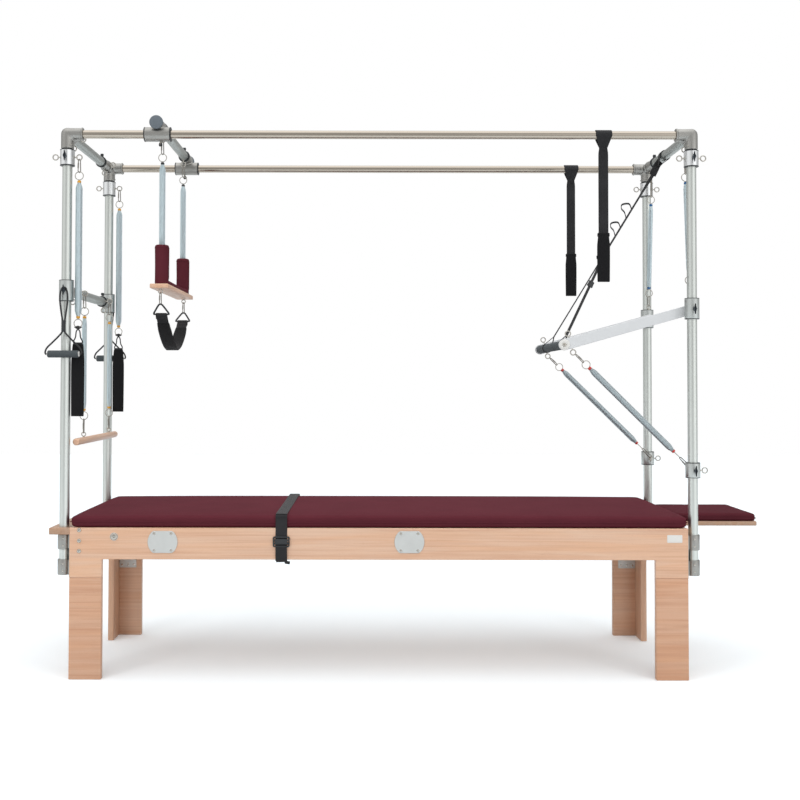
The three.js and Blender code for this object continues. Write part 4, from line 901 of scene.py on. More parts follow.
def puff(piece, voxel, cap):
    """Fills a cushion by a short cloth simulation: its cover swells, no point by more than the cap."""
    refine(piece, ("REMESH", {"mode": "VOXEL", "voxel_size": voxel * MM}))
    rest = [vertex.co.copy() for vertex in piece.data.vertices]
    cloth = piece.modifiers.new("cover", "CLOTH")
    cloth.settings.quality = 4
    cloth.settings.use_pressure = True
    cloth.settings.uniform_pressure_force = 4
    cloth.settings.effector_weights.gravity = 0
    cloth.point_cache.frame_start = 1
    cloth.point_cache.frame_end = SWELL_FRAMES
    for number in range(1, SWELL_FRAMES + 1):
        bpy.context.scene.frame_set(number)
    moved = piece.evaluated_get(bpy.context.evaluated_depsgraph_get()).data
    limit = cap * MM
    places = []
    for before, vertex in zip(rest, moved.vertices):
        step = vertex.co - before
        places.append(before + step * min(1, limit / max(step.length, 1e-9)))
    piece.modifiers.clear()
    bpy.context.scene.frame_set(1)
    for vertex, place in zip(piece.data.vertices, places):
        vertex.co = place
    refine(piece, ("SMOOTH", {"iterations": 3, "factor": 0.5}), ("SUBSURF", {"levels": 1}))


# The stage


# The photo's view: lens and sensor in millimetres, shifts in frame widths, turn in radians
LENS = 46.07
SENSOR = 36
LENS_SHIFT = (0.0386, -0.05)
CAMERA_PLACE = Vector((TABLE_X - 38.8, -4348.1, 1147.6))
CAMERA_TURN = (math.radians(90) + 0.0226, -0.0018, 0)

FLOOR_LEFT, FLOOR_RIGHT = -9000, 9000
FLOOR_FRONT, FLOOR_BACK = -3900, 12000

# Each softbox: its place, what it looks at, its width, its height and its watts
SOFTBOXES = {
    "overhead_softbox": ((0, -900, 4300), (0, 0, 600), 3400, 2400, 18),
    "left_softbox": ((-3300, -3600, 2300), (-300, 0, 1000), 900, 2600, 26),
    "right_softbox": ((3300, -3600, 2300), (300, 0, 1000), 900, 2600, 20),
}
CEILING_STRENGTH = 2.1
CEILING_SPREAD = math.radians(118)
CEILING_AIM = Vector((0, 0.43, -1))

# The panels that metal sees: their direction, where their glow starts and its strength
PANELS = (((0.66, -0.75, 0.05), 0.78, 0.85), ((-0.85, -0.5, 0.15), 0.7, 0.45))


class TRAPEZE_OT_stage(bpy.types.Operator):
    """Sets the floor, the light and the camera of the studio"""

    bl_idname = "trapeze_table.stage"
    bl_label = "Studio"

    def execute(self, context):
        self.camera(context)
        self.floor()
        self.world(context)
        self.lamps()
        context.scene.view_settings.view_transform = "Standard"
        return {"FINISHED"}

    def camera(self, context):
        data = bpy.data.cameras.new("studio_camera")
        data.sensor_width = SENSOR
        data.lens = LENS
        data.shift_x, data.shift_y = LENS_SHIFT
        data.clip_end = 200
        made = bpy.data.objects.new("studio_camera", data)
        made.location = CAMERA_PLACE * MM
        made.rotation_euler = CAMERA_TURN
        context.scene.collection.objects.link(made)
        context.scene.camera = made

    def floor(self):
        corners = [
            Vector((FLOOR_LEFT, FLOOR_FRONT, 0)), Vector((FLOOR_RIGHT, FLOOR_FRONT, 0)),
            Vector((FLOOR_RIGHT, FLOOR_BACK, 0)), Vector((FLOOR_LEFT, FLOOR_BACK, 0)),
        ]
        shape = Shape().add("studio_floor", (corners, [(0, 1, 2, 3)]))
        made = shape.piece("studio_floor", None, "")

    def world(self, context):
        """White to the camera. Metal sees a room with a bright ceiling and panels, cloth an even glow."""
        world = bpy.data.worlds.new("studio_white")
        world.use_nodes = True
        tree = world.node_tree
        rays = add_node(tree, "ShaderNodeLightPath").outputs
        sky = add_node(tree, "ShaderNodeTexCoord").outputs["Generated"]
        height = add_node(tree, "ShaderNodeSeparateXYZ", {"Vector": sky}).outputs["Z"]
        room = add_node(tree, "ShaderNodeMapRange", {
            "Value": height, "From Min": 0.55, "From Max": 0.9, "To Min": 0.6, "To Max": 1.8,
        })
        for towards, narrow, level in PANELS:
            facing = add_node(tree, "ShaderNodeVectorMath", {0: sky, 1: towards}, operation="DOT_PRODUCT")
            panel = add_node(tree, "ShaderNodeMapRange", {
                "Value": facing, "From Min": narrow, "From Max": 0.96, "To Max": level,
            })
            room = add_node(tree, "ShaderNodeMath", {0: room, 1: panel}, operation="ADD")
        light = add_node(tree, "ShaderNodeMix", {0: rays["Is Glossy Ray"], 2: 0.36, 3: room})
        seen = add_node(tree, "ShaderNodeMath", {
            0: rays["Is Camera Ray"], 1: rays["Is Transmission Ray"],
        }, operation="MAXIMUM")
        strength = add_node(tree, "ShaderNodeMix", {0: seen, 2: light, 3: 1.0})
        feed(tree.nodes["Background"], {"Color": (1, 1, 1, 1), "Strength": strength})
        context.scene.world = world

    def lamps(self):
        for name, (place, aim, width, height, watts) in SOFTBOXES.items():
            data = bpy.data.lights.new(name, "AREA")
            data.shape = "RECTANGLE"
            data.size = width * MM
            data.size_y = height * MM
            data.energy = watts
            self.hang(data, Vector(aim) - Vector(place)).location = Vector(place) * MM
        data = bpy.data.lights.new("bounced_ceiling_light", "SUN")
        data.energy = CEILING_STRENGTH
        data.angle = CEILING_SPREAD
        self.hang(data, CEILING_AIM)

    def hang(self, data, aim):
        """A lamp that shines along its aim and that metal doesn't mirror."""
        made = bpy.data.objects.new(data.name, data)
        made.rotation_euler = aim.to_track_quat("-Z", "Y").to_euler()
        made.visible_glossy = False
        bpy.context.scene.collection.objects.link(made)
        return made


# The wooden table


# The gap at a seam between boards, and the boards of the legs, the deck and the ledge
GAP = 0.3
FACE_BOARD = 25
LEG_BLOCK = 45
BRACKET_Z = 333
BATTENS = 5
BATTEN_HALF = 22
BATTEN_DEPTH = 32
LEDGE_DEPTH = 26

# Fittings on the long rails: how far to the side of the table's middle, and how high
LEG_BOLTS_X = -1162
LEG_BOLTS_Z = (576, 535, 495)
RAIL_BOLT = (-1027, 551)
COVER_PLATES = ((-838, 531), (118.5, 532))
NAME_PLATE = (1147, 546)


def spot(x, y, z):
    """A place given from the middle of the table."""
    return Vector((TABLE_X + x, y, z))


def bolt_head(shape, place, out, radius, height):
    """A domed bolt head with its socket."""
    profile = [
        (radius, 0), (radius, height * 0.35), (radius * 0.9, height * 0.7), (radius * 0.62, height),
        (radius * 0.3, height), (radius * 0.26, height * 0.5),
    ]
    shape.add("nickel_steel", turned(profile, place, out, 24))


class TRAPEZE_OT_wood(bpy.types.Operator):
    """Builds the rails, the ledge, the legs and the deck"""

    bl_idname = "trapeze_table.wood"
    bl_label = "Rails, legs and deck"

    def execute(self, context):
        for depth, side in DEPTHS.items():
            self.long_rail(depth, side)
        self.end_rails()
        for corner, (sx, sy) in CORNERS.items():
            self.leg(corner, sx, sy)
        self.deck()
        return {"FINISHED"}

    def long_rail(self, depth, side):
        seam = RAIL_LOW.z
        leg_low, leg_high = box("leg_front_left")
        inner = HALF_LENGTH - (leg_high.x - leg_low.x)
        outline = [
            (-HALF_LENGTH, seam), (-inner, seam), (-inner, RAIL_BOTTOM), (inner, RAIL_BOTTOM),
            (inner, seam), (HALF_LENGTH, seam), (HALF_LENGTH, RAIL_TOP), (-HALF_LENGTH, RAIL_TOP),
        ]
        back = HALF_WIDTH * side if side > 0 else -HALF_WIDTH + BOARD
        shape = Shape()
        shape.add("lacquered_beech_x", plate(outline, spot(0, back, 0), X, Z, BOARD, 1.6))
        shape.piece(f"{depth}_rail_board", "frame", "beech_ply", f"{depth}_rail")

    def end_rails(self):
        low, high = box("end_rail_left")
        inner = HALF_WIDTH - BOARD - GAP
        board_low = Vector((RAIL_LOW.x, -inner, low.z))
        board_high = Vector((RAIL_LOW.x + BOARD, inner, RAIL_TOP))
        ledge_top = RAIL_TOP - 1
        ledge_low = Vector((low.x, -HALF_WIDTH, ledge_top - LEDGE_DEPTH))
        ledge_high = Vector((RAIL_LOW.x - GAP, HALF_WIDTH, ledge_top))
        shape = Shape()
        shape.add("lacquered_beech_y", board(board_low, board_high))
        # The ledge is darkened by painted shade
        shape.add("painted_shade_beech", board(ledge_low, ledge_high, 3))
        shape.piece("left_end_board_with_ledge", "frame", "beech_ply", "end_rail_left")
        low, high = box("end_rail_right")
        shape = Shape().add("lacquered_beech_y", board(low, high))
        shape.piece("right_end_board", "frame", "beech_ply", "end_rail_right")

    def leg(self, corner, sx, sy):
        low, high = box(f"leg_{corner}")
        outer = Vector((low.x if sx < 0 else high.x, low.y if sy < 0 else high.y, 0))
        inner_x = outer.x - sx * (high.x - low.x)
        inner_y = outer.y - sy * (high.y - low.y)
        behind_x = outer.x - sx * FACE_BOARD
        behind_y = outer.y - sy * FACE_BOARD
        block_size = FACE_BOARD + LEG_BLOCK
        # The rear legs are given the paler beech of the rails rather than the front legs' ruddier one:
        # painted light that lifts them in the shade under the table
        grain = "ruddy_beech" if sy < 0 else "lacquered_beech"
        face = between(outer, Vector((inner_x, behind_y, RAIL_LOW.z - GAP)))
        side = between(Vector((outer.x, behind_y, 0)), Vector((behind_x, inner_y, RAIL_BOTTOM - GAP)))
        block = between(
            Vector((behind_x, outer.y - sy * (FACE_BOARD + GAP), RAIL_BOTTOM - 100)),
            Vector((outer.x - sx * block_size, outer.y - sy * block_size, high.z)),
        )
        shape = Shape()
        shape.add(f"{grain}_x", board(*face))
        shape.add(f"{grain}_z", board(*side, 2))
        shape.add(f"{grain}_z", board(*block))
        shape.piece(f"leg_{corner}_boards", "frame", "beech_ply", f"leg_{corner}")
        self.bracket(corner, outer, sx, sy)

    def bracket(self, corner, outer, sx, sy):
        """A perforated steel plate screwed to the inside of the leg."""
        shape = Shape()
        far = outer.x - sx * (FACE_BOARD + 0.4)
        near = outer.x - sx * 102
        wall = outer.y - sy * (FACE_BOARD + GAP)
        centre = Vector(((far + near) / 2, wall, BRACKET_Z))
        outline = rounded(abs(far - near) / 2, 27, 4)
        shape.add("light_steel_plate", plate(outline, centre, X * sy, Z, 3, 0.8))
        for dx in (-26, 0, 26):
            for dz in (-14, 14):
                bolt_head(shape, centre + Vector((dx, -sy * 2.8, dz)), Y * -sy, 4.5, 1.6)
        shape.piece(f"leg_bracket_{corner}", "frame", "beech_ply")

    def deck(self):
        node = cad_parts["deck_panel"]
        node.data.materials.clear()
        node.data.materials.append(finish("lacquered_beech_x"))
        low, high = box("deck_panel")
        shape = Shape()
        for i in range(BATTENS):
            x = low.x + (high.x - low.x) * (i + 0.5) / BATTENS
            lowest = Vector((x - BATTEN_HALF, low.y + 2, low.z - BATTEN_DEPTH))
            highest = Vector((x + BATTEN_HALF, high.y - 2, low.z - GAP))
            shape.add("lacquered_beech_y", board(lowest, highest))
        shape.piece("deck_battens", "frame", "beech_ply")


class TRAPEZE_OT_fittings(bpy.types.Operator):
    """Builds the bolts, cover plates and the bare name plate on the rails"""

    bl_idname = "trapeze_table.fittings"
    bl_label = "Fittings on the rails"

    def execute(self, context):
        for depth, side in DEPTHS.items():
            self.rail(depth, side)
        return {"FINISHED"}

    def rail(self, depth, side):
        face = HALF_WIDTH * side
        out = Y * side
        right = X * -side
        shape = Shape()
        for z in LEG_BOLTS_Z:
            bolt_head(shape, spot(LEG_BOLTS_X, face - side, z), out, 8.5, 5)
        x, z = RAIL_BOLT
        bolt_head(shape, spot(x, face - side, z), out, 14, 7)
        shape.add("light_steel_plate", bead(spot(x, face, z), out, 15.5, 2, 6))
        shape.piece(f"rail_bolts_{depth}", "frame", "beech_ply")
        shape = Shape()
        outline = [(a, max(-42.5, min(42.5, b))) for a, b in ellipse(58, 56, 48)]
        for x, z in COVER_PLATES:
            shape.add("light_steel_plate", plate(outline, spot(x, face, z), right, Z, 3.5, 1))
            for sx in (-1, 1):
                for sz in (-1, 1):
                    place = spot(x + sx * 33, face + side * 3.2, z + sz * 33)
                    bolt_head(shape, place, out, 5.5, 2)
        shape.piece(f"cover_plates_{depth}", "frame", "beech_ply")
        if side < 0:
            x, z = NAME_PLATE
            shape = Shape()
            shape.add("white_plastic", plate(rounded(29.5, 15, 3), spot(x, face, z), right, Z, 1.6, 0.5))
            raised = spot(x, face + side * 1.4, z)
            shape.add("white_plastic", plate(rounded(26, 11.5, 2), raised, right, Z, 0.8, 0.3))
            shape.piece("blank_name_plate", "frame", "beech_ply")


# Cushions


MAT_SEAM_DROP = 30
EXTENSION_SEAM_DROP = 20
PEG_Y = 120
PEG_Z = 577
BELT = 2.6
BUCKLE_Z = 533


class TRAPEZE_OT_cushions(bpy.types.Operator):
    """Builds the mat, the head extension and the belt round the mat"""

    bl_idname = "trapeze_table.cushions"
    bl_label = "Mat, extension and belt"

    def execute(self, context):
        self.cushion("mat_cushion", "mat", "grained_vinyl", 9, 9, 2.5, 8)
        # The extension's cover is darkened by painted shade
        self.cushion("extension_cushion", "extension_pad", "painted_shade_vinyl", 7, 5, 2.5, 1)
        self.seams()
        self.extension_board()
        self.belt()
        return {"FINISHED"}

    def cushion(self, name, node, vinyl, edge, voxel, cap, drop):
        """A slab that is swelled by cloth, and whose top falls away a little towards its edges."""
        low, high = box(node)
        inside = Vector((1.5, 1.5, 0))
        slab = Shape().add(vinyl, board(low + inside, high - inside - Z * 2, edge))
        made = slab.piece(name, None, "burgundy_vinyl")
        puff(made, voxel, cap)
        centre, half = (low + high) / 2, (high - low) / 2
        for vertex in made.data.vertices:
            at = vertex.co / MM - centre
            if at.z > 0:
                fall = (at.x / half.x) ** 4 / 2 + (at.y / half.y) ** 4 / 2
                vertex.co.z -= drop * MM * fall * at.z / half.z
        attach(made, "frame")
        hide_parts(node)

    def seams(self):
        """A welted seam along the lower edge of each cushion's side."""
        cushions = (
            ("mat_seam", "mat", MAT_SEAM_DROP),
            ("extension_seam", "extension_pad", EXTENSION_SEAM_DROP),
        )
        for name, node, drop in cushions:
            low, high = box(node)
            x, y = (high.x - low.x) / 2 + 0.4, (high.y - low.y) / 2 + 0.4
            centre = (low + high) / 2
            path = [Vector((centre.x + a, centre.y + b, high.z - drop)) for a, b in rounded(x, y, 16, 6)]
            shape = Shape().add("grained_vinyl", wire(path, 1.3, 8, closed=True))
            shape.piece(name, "frame", "burgundy_vinyl")

    def extension_board(self):
        low, high = box("extension_board")
        start = box("extension_pad")[0].x
        shape = Shape()
        # The extension board is darkened by painted shade
        shape.add("painted_shade_beech", board(Vector((start, low.y, low.z)), high, 3))
        for side in (-1, 1):
            peg = Vector((low.x, side * PEG_Y, PEG_Z)), Vector((start + 2, side * PEG_Y, PEG_Z))
            shape.add("nickel_steel", rod(*peg, 5, 1, 20))
        shape.piece("extension_board_planed", "frame", "beech_ply", "extension_board")

    def belt(self):
        low, high = box("mat_belt")
        x = (low.x + high.x) / 2
        width = high.x - low.x
        y, foot, head = high.y - BELT / 2, low.z + BELT / 2, high.z - BELT / 2
        turn = 15
        half = [(0, foot), (-0.6 * y, foot), (8 - y, foot)]
        half += [(-y, foot + 8), (-y, foot + 70), (-y, RAIL_TOP + 20)]
        for a in (0.35, 0.75, 1.15, 1.5):
            half.append((-(y - turn + turn * math.cos(a)), head - turn + turn * math.sin(a)))
        half += [(-0.7 * y, head), (-0.4 * y, head), (0, head)]
        path = [Vector((x, *place)) for place in half]
        path += [Vector((p.x, -p.y, p.z)) for p in reversed(path[1:-1])]
        round_mat = smooth_path(path, 5, closed=True)
        shape = Shape().add("webbing_belt", strap(round_mat, X, width, BELT, closed=True))
        shape.piece("mat_belt_webbing", "frame", "black_webbing", "mat_belt")
        self.buckle(x, low.y)

    def buckle(self, x, face):
        """A cam buckle with its pressed frame, lever and bar, and the loose tab of the strap below it."""
        shape = Shape()
        place = Vector((x, face - 0.5, BUCKLE_Z))
        frame_path = [place + X * a + Z * b - Y * 2 for a, b in rounded(30, 18, 4)]
        shape.add("black_plastic", wire(frame_path, 3, 8, closed=True))
        for z in (-7, 7):
            ends = place - X * 29 + Z * z - Y * 3, place + X * 29 + Z * z - Y * 3
            shape.add("black_plastic", rod(*ends, 3, 0.8, 14))
        points, faces = plate(rounded(24, 9, 3), place - Y * 4 + Z * 2, -X, Z, 3.4, 1)
        lever = [Vector((p.x, 2 * (place.y - 4) - p.y, p.z)) for p in points]
        shape.add("black_plastic", (lever, faces))
        tab = ((0, -3.4, -16), (1, -4.4, -40), (1.5, -3.6, -62), (2, -2.6, -78))
        tab = [place + Vector(p) for p in tab]
        shape.add("webbing_lengthways", strap(smooth_path(tab, 5), X, 43, 2.2))
        fold = [place + Vector(p) for p in ((14, -1, -78), (26, -2.5, -80), (34, -1.5, -81))]
        shape.add("webbing_lengthways", strap(smooth_path(fold, 4), Z, 12, 2.6))
        shape.piece("mat_belt_cam_buckle", "frame", "black_webbing")


# Posts, sockets and the frame of tubes


class TRAPEZE_OT_posts(bpy.types.Operator):
    """Builds the four posts and the sockets that hold them"""

    bl_idname = "trapeze_table.posts"
    bl_label = "Posts and sockets"

    def execute(self, context):
        for corner, (sx, sy) in CORNERS.items():
            low, high = box(f"post_{corner}")
            centre = middle(f"post_{corner}")
            foot = Vector((centre.x, centre.y, low.z))
            head = Vector((centre.x, centre.y, high.z))
            shape = Shape().add("anodised_upright", pipe(foot, head, POST_RADIUS, 16, 1))
            shape.piece(f"post_{corner}_tube", "frame", "anodised_aluminium", f"post_{corner}")
            self.socket(corner, sx, sy, centre)
        return {"FINISHED"}

    def socket(self, corner, sx, sy, centre):
        low, high = box(f"post_socket_{corner}")
        wall = low.x if sx > 0 else high.x
        axis = Vector((centre.x, centre.y, 0))
        back_half, web_half = 22, 15
        shape = Shape()
        back = between(
            Vector((wall, centre.y - back_half, low.z)),
            Vector((wall + sx * 6, centre.y + back_half, high.z)),
        )
        shape.add("cast_aluminium", board(*back, 1))
        for start, end in ((low.z + 9, low.z + 69), (high.z - 59.7, high.z)):
            profile = [
                (20, start + 2), (23, start), (24.5, start + 2), (24.5, end - 2), (23.3, end), (19.6, end),
            ]
            shape.add("cast_aluminium", turned(profile, axis, Z, 40, closed=True))
            web = between(
                Vector((wall + sx * 5, centre.y - web_half, start + 3)),
                Vector((centre.x, centre.y + web_half, end - 3)),
            )
            shape.add("cast_aluminium", board(*web, 2))
            for z in ((start + end) / 2 - 14, (start + end) / 2 + 14):
                place = Vector((centre.x - sx * 2, centre.y + sy * 23.6, z))
                bolt_head(shape, place, Y * sy, 4, 1.8)
        shape.add("black_plastic", rod(axis + Z * (low.z + 9.2), axis + Z * (low.z + 12), 20.5, 0.6))
        shape.piece(f"post_socket_{corner}_casting", "frame", "grey_casting", f"post_socket_{corner}")


class TRAPEZE_OT_top_frame(bpy.types.Operator):
    """Builds the top bars, the corner fittings with their collars, and the two top crossbars"""

    bl_idname = "trapeze_table.top_frame"
    bl_label = "Top frame"

    def execute(self, context):
        for depth, side in DEPTHS.items():
            low, high = box(f"top_bar_{depth}")
            start = Vector((low.x, side * POST_Y, TOP_Z))
            end = Vector((high.x, start.y, TOP_Z))
            shape = Shape().add("polished_stainless", pipe(start, end, BAR_RADIUS, 14))
            shape.piece(f"top_bar_{depth}_tube", "frame", "stainless_tube", f"top_bar_{depth}")
        for corner, (sx, sy) in CORNERS.items():
            self.elbow(corner, sx, sy)
            self.collar(corner, sx, sy)
        for name, sx in (("top_crossbar_left", -1), ("top_crossbar_right", 1)):
            self.crossbar(name, sx)
        return {"FINISHED"}

    def elbow(self, corner, sx, sy):
        """The three-way casting, its arms run together by a fillet, with a raised rim at the mouths of its
        two level arms.
        """
        centre = spot(sx * POST_X, sy * POST_Y, TOP_Z)
        shape = Shape()
        outer = 25.5
        arms = ((-Z, 60, outer), (X * -sx, 62, outer - 1), (Y * -sy, 62, outer - 1))
        for direction, reach, radius in arms:
            start, end = centre - direction * 3, centre + direction * reach
            shape.add("cast_aluminium", rod(start, end, radius, 2, 40))
        slopes = [math.pi * (i / 12 - 0.5) * 0.998 for i in range(13)]
        ball = [(outer * math.cos(a), outer * math.sin(a)) for a in slopes]
        shape.add("cast_aluminium", turned(ball, centre, Z, 40))
        made = shape.piece(f"corner_casting_{corner}", None, "grey_casting")
        fuse(made, 2.2, 12)
        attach(made, "frame")
        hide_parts(f"corner_fitting_{corner}")
        rims = Shape()
        rims.add("cast_aluminium", bead(centre + X * -sx * 59, X, outer + 0.8, 7, 9))
        rims.add("cast_aluminium", bead(centre + Y * -sy * 59, Y, outer + 0.8, 7, 7))
        bolt_head(rims, centre + Vector((-sx * 20, sy * 24, -46)), Y * sy, 2.6, 1.2)
        rims.piece(f"corner_rims_{corner}", "frame", "grey_casting")

    def collar(self, corner, sx, sy):
        centre = spot(sx * POST_X, sy * POST_Y, 0)
        shape = Shape()
        foot, head = COLLAR_LOW + 3, COLLAR_HIGH - 3
        profile = [(COLLAR_BORE, foot), (28, foot), (28, head), (COLLAR_BORE, head)]
        shape.add("anodised_collar", turned(profile, centre, Z, 48, closed=True))
        for z in (COLLAR_LOW + 1.8, COLLAR_HIGH - 1.6):
            shape.add("black_plastic", bead(centre + Z * z, Z, 28.8, 3.2, 9))
        lozenge_knob(shape, centre.x, centre.y + sy * KNOB_FOOT, COLLAR_EYE_Z, sy)
        for out in (X, -X):
            base = centre + out * COLLAR_RADIUS + Z * COLLAR_EYE_Z
            shape.add("nickel_steel", *eyebolt(base, out, Y))
        shape.piece(f"top_collar_{corner}", "frame", "anodised_aluminium")

    def crossbar(self, name, sx):
        x = TABLE_X + sx * POST_X
        low, high = box(name)
        shape = Shape()
        start, end = Vector((x, low.y, TOP_Z)), Vector((x, high.y, TOP_Z))
        shape.add("anodised_across_painted_shade", pipe(start, end, CROSS_RADIUS, 16))
        crossbar_sleeve(shape, Vector((x, 0, TOP_Z)), near=178, far=261)
        shape.add("black_plastic", bead(Vector((x, -256, TOP_Z)), Y, 22, 5, 4))
        for side in (-1, 1):
            for out in (X, -Z) if sx < 0 else (-Z,):
                base = Vector((x, side * CROSS_EYE_Y, TOP_Z)) + out * CROSS_RADIUS
                shape.add("nickel_steel", *eyebolt(base, out, Y))
        shape.piece(f"{name}_tube", "frame", "anodised_aluminium", name)


def crossbar_sleeve(shape, centre, near, far):
    """The clamp at a crossbar's rear end: a larger sleeve with a dark lip and an upright thumbscrew."""
    start = centre + Y * near
    shape.add("cast_aluminium", pipe(start, centre + Y * far, CLAMP_RADIUS, CLAMP_BORE, 1.2))
    shape.add("black_plastic", bead(start, Y, 24.5, 7, 5))
    thumbscrew(shape, start + Y * 22 + Z * 22, Z)


# The left end


def collar_sleeve(shape, centre, half):
    """A sleeve on a post: a satin tube with a thin dark lip at each end."""
    end, shoulder = half - 1.5, half - 4
    profile = [
        (COLLAR_BORE, -end), (SLEEVE_RADIUS - 1, -end), (SLEEVE_RADIUS, -shoulder),
        (SLEEVE_RADIUS, shoulder), (SLEEVE_RADIUS - 1, end), (COLLAR_BORE, end),
    ]
    shape.add("anodised_sleeve", turned(profile, centre, Z, 48, closed=True))
    for sign in (-1, 1):
        shape.add("black_plastic", bead(centre + Z * sign * (half - 1.4), Z, SLEEVE_RADIUS + 0.2, 2.4, 8))


class TRAPEZE_OT_slider(bpy.types.Operator):
    """Builds the sliding crossbar and the two handles that hang on its knobs"""

    bl_idname = "trapeze_table.slider"
    bl_label = "Sliding crossbar and handles"

    def execute(self, context):
        x = TABLE_X - POST_X
        centre = Vector((x, 0, SLIDER_Z))
        shape = Shape()
        reach = POST_Y - POST_RADIUS
        shape.add("anodised_across_painted_shade", rod(centre - Y * reach, centre + Y * reach, CROSS_RADIUS, 0.5, 40))
        crossbar_sleeve(shape, centre, near=205, far=292)
        shape.add("cast_aluminium", pipe(centre - Y * 300, centre - Y * 262, CLAMP_RADIUS, CLAMP_BORE, 1.2))
        for side in (-1, 1):
            collar_sleeve(shape, centre + Y * side * POST_Y, 42)
            lozenge_knob(shape, x, side * (POST_Y + KNOB_FOOT), SLIDER_Z, side)
            inner = centre + Y * side * ROLL_DOWN_EYE_Y + X * CROSS_RADIUS
            shape.add("nickel_steel", *eyebolt(inner, X, Y))
            under = centre + Y * side * CROSS_EYE_Y - Z * CROSS_RADIUS
            shape.add("nickel_steel", *eyebolt(under, -Z, Y))
        shape.piece(
            "sliding_crossbar_with_sleeves", "crossbar_slider", "anodised_aluminium", "slide_crossbar"
        )
        for depth, side in DEPTHS.items():
            self.handle(depth, side, x)
        return {"FINISHED"}

    def handle(self, depth, side, x):
        """A cord over the knob's stem, bound below it, that spreads to the ends of a foam grip."""
        y = side * (POST_Y + COLLAR_RADIUS + 5.75)
        half = 63
        grip_drop = 250

        def at(dx, drop):
            return Vector((x + dx, y, SLIDER_Z - drop))

        left = [
            at(-half - 3, 252), at(-half - 8, 244), at(-half - 1, 226), at(-44, 206), at(-22, 184),
            at(-4.4, 162), at(-4.2, 140), at(-4.6, 118), at(-9, 90), at(-14, 52), at(-15, 26), at(-12.5, 6),
        ]
        angles = [math.pi * i / 8 for i in range(9)]
        arch = [at(-10.1 * math.cos(a), -10.1 * math.sin(a)) for a in angles]
        right = [Vector((2 * x - p.x, p.y, p.z)) for p in reversed(left)]
        shape = Shape().add("braided_cord", wire(smooth_path(left + arch + right, 5), 3.4, 12))
        wrap = [
            (4, 0), (7.6, 1), (8.2, 4), (7.6, 8), (8.3, 12), (7.6, 17),
            (8.3, 22), (7.6, 28), (8.2, 34), (7.6, 39), (8.2, 43), (4, 46),
        ]
        shape.add("black_plastic", turned([(r * 0.98, h) for r, h in wrap], at(0, 164), Z, 24))
        grip = [
            (6, 3), (12.6, 3), (13.8, 5), (14, 10), (14, 58),
            (14, 116), (13.8, 121), (12.6, 123), (6, 123),
        ]
        shape.add("cell_foam", turned(grip, at(-half, grip_drop), X, 36, closed=True))
        cap = [(2, 0), (7, 0), (10.6, 1.6), (11, 3.2), (11, 7), (2, 7)]
        for sx in (-1, 1):
            shape.add("white_plastic", turned(cap, at(sx * half, grip_drop), X * -sx, 28, closed=True))
        shape.piece(f"handle_{depth}_with_cord", f"handle_{depth}_body", "grey_foam", f"handle_{depth}")


def upper_link(shape, eye, direction, ring_drop=RING_DROP, tip_drop=TIP_DROP):
    """What hangs in an eye at a spring's upper end: snap hook, wire ring and the stub of the winding."""
    shape.add("snap_hook_painted_shade_steel", *hook_between(eye, direction, X, ring_drop - RING_RADIUS))
    across = direction.cross(X).normalized()
    shape.add("nickel_steel", ring(eye + direction * ring_drop, across, RING_RADIUS, RING_WIRE))
    stub = eye + direction * (ring_drop + RING_RADIUS)
    shape.add("nickel_steel", rod(stub, eye + direction * (tip_drop + 1), RING_WIRE, 0.3, 10))


def lower_ring(shape, end, direction, across):
    """The ring under a winding's lower end, with its stub; gives the ring's centre."""
    centre = end + direction * (TIP_DROP - RING_DROP)
    shape.add("nickel_steel", ring(centre, across, RING_RADIUS, RING_WIRE))
    shape.add("nickel_steel", rod(end - direction, centre - direction * RING_RADIUS, RING_WIRE, 0.3, 10))
    return centre


def winding(shape, start, end, radius, tip_finish, tips=(True, True), wire_finish="bright_zinc"):
    """A winding with its dipped tips, of which one may be left out."""
    direction = (end - start).normalized()
    shape.add(wire_finish, coil(start, end, radius))
    for wanted, place, out in zip(tips, (start, end), (-direction, direction)):
        if wanted:
            shape.add(tip_finish, tip(place - out * 3, out))


